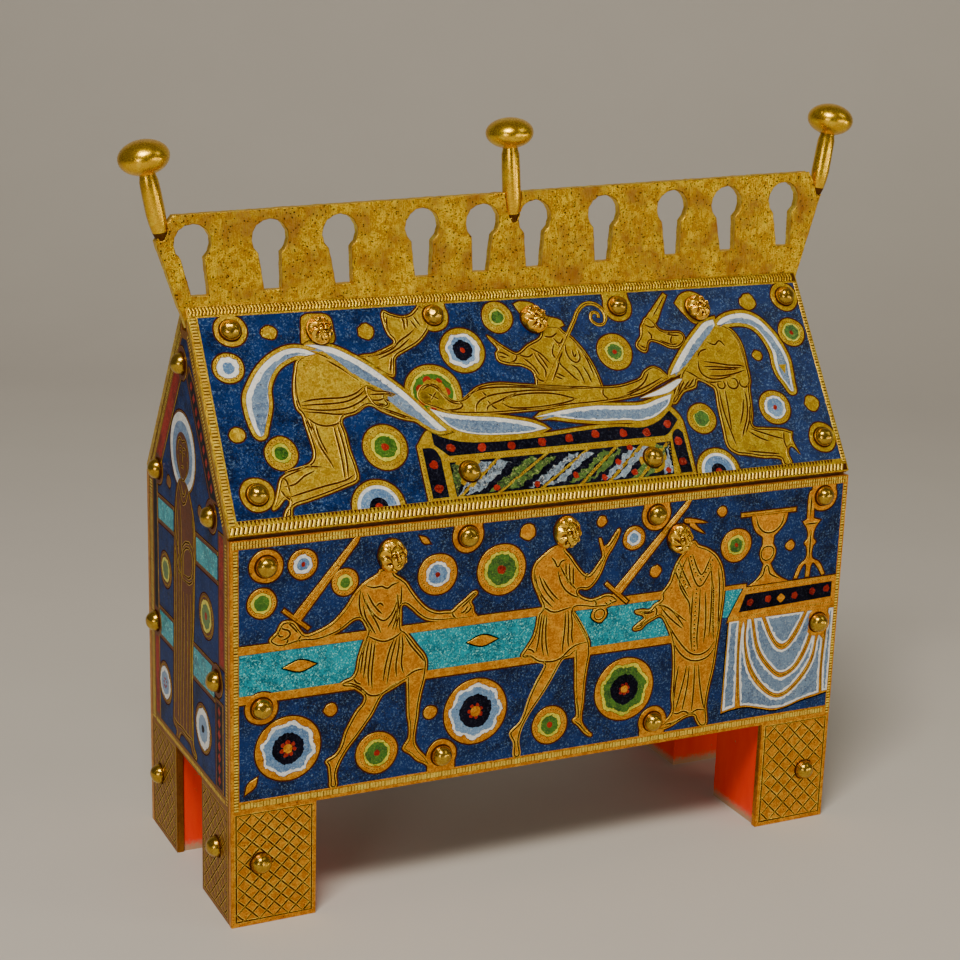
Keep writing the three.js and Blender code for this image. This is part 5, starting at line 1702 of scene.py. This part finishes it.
# Each head's side, width and height in millimetres, lean in degrees, beard, and shift to its figure's neck.
HEADS = {
    "head_swordsman_left": (FRONT, 7.4, 8.8, 12, False, (0, 0)),
    "head_swordsman_right": (FRONT, 7.4, 8.6, 14, False, (0, 0)),
    "head_priest": (FRONT, 7.2, 8.2, 18, True, (-0.5, -0.8)),
    "head_bearer_left": (ROOF, 6.6, 7.6, 4, True, (-1.6, -0.6)),
    "head_bishop": (ROOF, 7.0, 7.8, 38, True, (-1.3, -0.4)),
    "head_bearer_right": (ROOF, 6.6, 7.4, 34, True, (-1.0, 0)),
}


def head(name, face, wide, tall, lean, bearded, shift):
    """A head cast in half round and riveted over a figure's neck. Its hollows and rim are painted darker, as
    shade and grime.
    """
    low, high = face.reach(name)
    middle = (low + high) / 2 + Vector((*shift, 0))
    lean = math.radians(lean)
    seed = len(name) * 1.7
    rings, sides = 44, 110
    scale = high.z / (face_relief(0, 0, bearded, seed) + 0.45)

    def lift(x, y):
        return face_relief(x, y, bearded, seed) * scale

    points, faces, names = [], [], []
    for row in range(rings + 1):
        reach = 1 - 0.985 * row / rings
        for i in range(sides):
            x, y = reach * math.cos(TAU * i / sides), reach * math.sin(TAU * i / sides)
            height = lift(x, y)
            u, v = x * wide / 2, y * tall / 2
            points.append(face.at(middle.x + u * math.cos(lean) - v * math.sin(lean),
                                  middle.y + u * math.sin(lean) + v * math.cos(lean),
                                  min(height, high.z) if row else 0.0))
            if row < rings:
                a, b = row * sides + i, row * sides + (i + 1) % sides
                faces.append((a, b, b + sides, a + sides))
                around = lift(x + 0.06, y) + lift(x - 0.06, y) + lift(x, y + 0.06) + lift(x, y - 0.06)
                names.append(head_finish(around / 4 - height, row == 0))
    faces.append(tuple(range(rings * sides, (rings + 1) * sides)))
    names.append("cast")
    work = Work(name, face)
    work.add(points, faces, names)
    work.piece("cast_gilt", name, crease=70)


def head_finish(hollow, rim):
    """Rubbed gilding on what stands out; the rim and the hollows painted darker as shade, in dull gilding,
    and the deepest in the dark grime finish.
    """
    deepest, deep = 0.05, 0.022
    if hollow > deepest:
        return "groove"
    return "dull_gilt_and_painted_shade" if rim or hollow > deep else "cast"


def crest():
    """The ridge crest: a gilt sheet pierced with keyholes, chamfered, with solder under its middle knob."""
    low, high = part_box("crest")
    thick = (high.y - low.y) / MM
    front = Face((0, low.y, 0), (1, 0, 0), (0, 0, 1))
    loops = [wander(line, 0.16, 0.9, 1.1) for line in front.loops("crest")]
    work = Work("crest", front)
    # The keyholes' walls take the bright rib gilding as painted highlight.
    raised(work, loops[0], -thick / 2, 0.0, "crest", loops[1:], bevel=0.2, wall="rib")
    foot = min(corners_of("knob_middle"), key=lambda p: p.z) / MM
    solder = wander(ring(foot.x - 0.5, foot.z - 0.2, 1.2, tall=1.8), 0.6, 0.5, 1.3)
    reserve(work, solder, "dull_gilt_and_painted_shade", -0.01)
    work.face = Face((0, high.y, 0), (-1, 0, 0), (0, 0, 1))
    turned = [[Vector((-spot.x, spot.y)) for spot in line] for line in loops]
    raised(work, turned[0], -thick / 2, 0.0, "crest", turned[1:], bevel=0.2, wall="rib")
    work.piece("gilt_copper", "crest", crease=40)


def knob(name, seed):
    """A leaning stem with a flattened ball on top."""
    sides, arcs, ball_depth = 36, 16, 0.0085
    corners = corners_of(name)
    high = max(p.z for p in corners)
    upper = [p for p in corners if p.z > high - ball_depth]
    ball = Vector([(min(p[axis] for p in upper) + max(p[axis] for p in upper)) / 2 for axis in range(3)])
    tip = min(corners, key=lambda p: p.z)
    foot = Vector((tip.x, 0, tip.z))
    wide = max(abs(p.y) for p in upper) / MM
    tall = (high - ball.z) / MM
    axis = (ball - foot).normalized()
    cross = Vector((0, 1, 0))
    third = axis.cross(cross)
    reach = (ball - foot).length / MM
    neck = reach - tall * 0.93
    # radius and distance along the stem, up to the collar under the ball
    profile = [(0.0, 0.0), (0.8, 0.35), (1.25, 1.1), (1.75, 2.6), (2.1, 4.6), (2.32, 7.0)]
    profile += [(2.3, (7 + neck) / 2), (2.22, neck - 1.6), (1.95, neck - 0.5), (1.88, neck)]
    profile += [(2.25, neck + 0.12)]
    for step in range(arcs + 1):
        tilt = math.radians(-62 + 152 * step / arcs)
        profile.append((wide * 0.985 * math.cos(tilt), reach + tall * 0.97 * math.sin(tilt)))
    rows = []
    for radius, along in profile:
        row = []
        for i in range(sides):
            angle = TAU * i / sides
            way = cross * math.cos(angle) + third * math.sin(angle)
            dent = noise.noise(way * 1.6 + Vector((seed, along * 0.12, 0)))
            row.append(foot + (way * radius * (1 + 0.035 * dent) + axis * along) * MM)
        rows.append(row)
    work = Work(name)
    # The stem's foot and the collar under the ball are painted darker, as shade and grime.
    work.grid(rows, ["dull_gilt_and_painted_shade"] * 3 + ["knob"] * 6 + ["dull_gilt_and_painted_shade"] + ["knob"] * (len(rows) - 11), closed=True)
    work.piece("cast_gilt", name, crease=50)


def plain_parts():
    """The boards and legs keep the shape of their CAD nodes."""
    for node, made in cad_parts.items():
        if node.startswith("board_"):
            paint(made, "oak")
        if node.startswith("leg_"):
            paint(made, "paint")


def paint(made, finish):
    made.data.materials.clear()
    made.data.materials.append(FINISH[finish])


# -------------------- studio

CAMERA_PLACE = (-0.22322, -0.44576, 0.23607)
CAMERA_TARGET = (-0.006434, 0, 0.09565)
CAMERA_AZIMUTH = -25.935  # the way it looks, in degrees
CAMERA_ROLL = 1.763  # degrees
LENS = 75  # focal length in millimetres


def studio_finish(name, tone):
    fin = Finish(name, roughness=0.75)
    fin.feed(base_color=fin.blend(fin.noise(60, 3), tone, tuple(part * 0.94 for part in tone[:3]) + (1,)))
    return fin.material


def ground():
    """A pale floor that curves up into a backdrop."""
    front, bend, radius, top, wide = -1.2, 0.5, 0.35, 1.6, 2.0
    profile = [(front, 0), (bend, 0)]
    for step in range(1, 11):
        tilt = step / 10 * math.pi / 2
        profile.append((bend + radius * math.sin(tilt), radius - radius * math.cos(tilt)))
    profile.append((bend + radius, top))
    points = [(x, y, z) for y, z in profile for x in (-wide, wide)]
    faces = [(2 * i, 2 * i + 1, 2 * i + 3, 2 * i + 2) for i in range(len(profile) - 1)]
    mesh = bpy.data.meshes.new("floor")
    mesh.from_pydata(points, [], faces)
    mesh.materials.append(studio_finish("studio_paper", colour(0.62, 0.6, 0.57)))
    mesh.shade_smooth()
    made = bpy.data.objects.new("floor", mesh)
    made.rotation_euler.z = math.radians(CAMERA_AZIMUTH)
    bpy.context.scene.collection.objects.link(made)


def aim(made, target):
    """Turn a lamp or the camera to look at a place."""
    made.rotation_euler = (Vector(target) - made.location).to_track_quat("-Z", "Y").to_euler()


def lamp(name, azimuth, elevation, distance, size, power, warmth, target=(0, 0, 0.09)):
    """An area lamp seen from its target at an azimuth, from the front to the right, and an elevation."""
    light = bpy.data.lights.new(name, "AREA")
    light.shape = "RECTANGLE"
    light.size, light.size_y = size
    light.energy = power
    light.color = warmth
    made = bpy.data.objects.new(name, light)
    az, el = math.radians(azimuth), math.radians(elevation)
    way = Vector((math.sin(az) * math.cos(el), -math.cos(az) * math.cos(el), math.sin(el)))
    made.location = Vector(target) + way * distance
    aim(made, target)
    bpy.context.scene.collection.objects.link(made)


def lights():
    lamp("key", -40, 55, 1.0, (0.36, 0.22), 9.2, (1.0, 0.91, 0.78), (0, -0.02, 0.1))
    lamp("roof_glow", 50, 43, 1.3, (0.28, 0.5), 0.95, (1.0, 0.95, 0.7))
    lamp("fill_low", -48, 12, 1.2, (0.3, 0.2), 1.8, (1.0, 0.88, 0.74), (0.04, 0, 0.03))
    lamp("front_soft", 24, 4, 1.3, (0.6, 0.3), 2.2, (1.0, 0.88, 0.74))
    lamp("crest_glow", 50, -7, 0.8, (0.18, 0.06), 0.55, (1.0, 0.88, 0.45), (0.09, 0, 0.17))
    world = bpy.data.worlds.new("studio_air")
    world.use_nodes = True
    air = world.node_tree.nodes["Background"].inputs
    air["Color"].default_value = (0.62, 0.55, 0.46, 1)
    air["Strength"].default_value = 0.16
    bpy.context.scene.world = world


def camera():
    data = bpy.data.cameras.new("camera")
    data.lens = LENS
    data.sensor_width = 36
    data.clip_start = 0.01
    made = bpy.data.objects.new("camera", data)
    made.location = CAMERA_PLACE
    aim(made, CAMERA_TARGET)
    made.rotation_euler.rotate_axis("Z", math.radians(CAMERA_ROLL))
    bpy.context.scene.collection.objects.link(made)
    bpy.context.scene.camera = made


def main():
    front_plate()
    roof_plate()
    end_plate()
    back_plates()
    for name, face in (("front", FRONT), ("roof", ROOF), ("left", LEFT), ("back", BACK)):
        nails(name, face)
    for name, facts in HEADS.items():
        head(name, *facts)
    crest()
    for seed, name in enumerate(("knob_left", "knob_middle", "knob_right")):
        knob(name, seed)
    plain_parts()
    ground()
    lights()
    camera()


main()
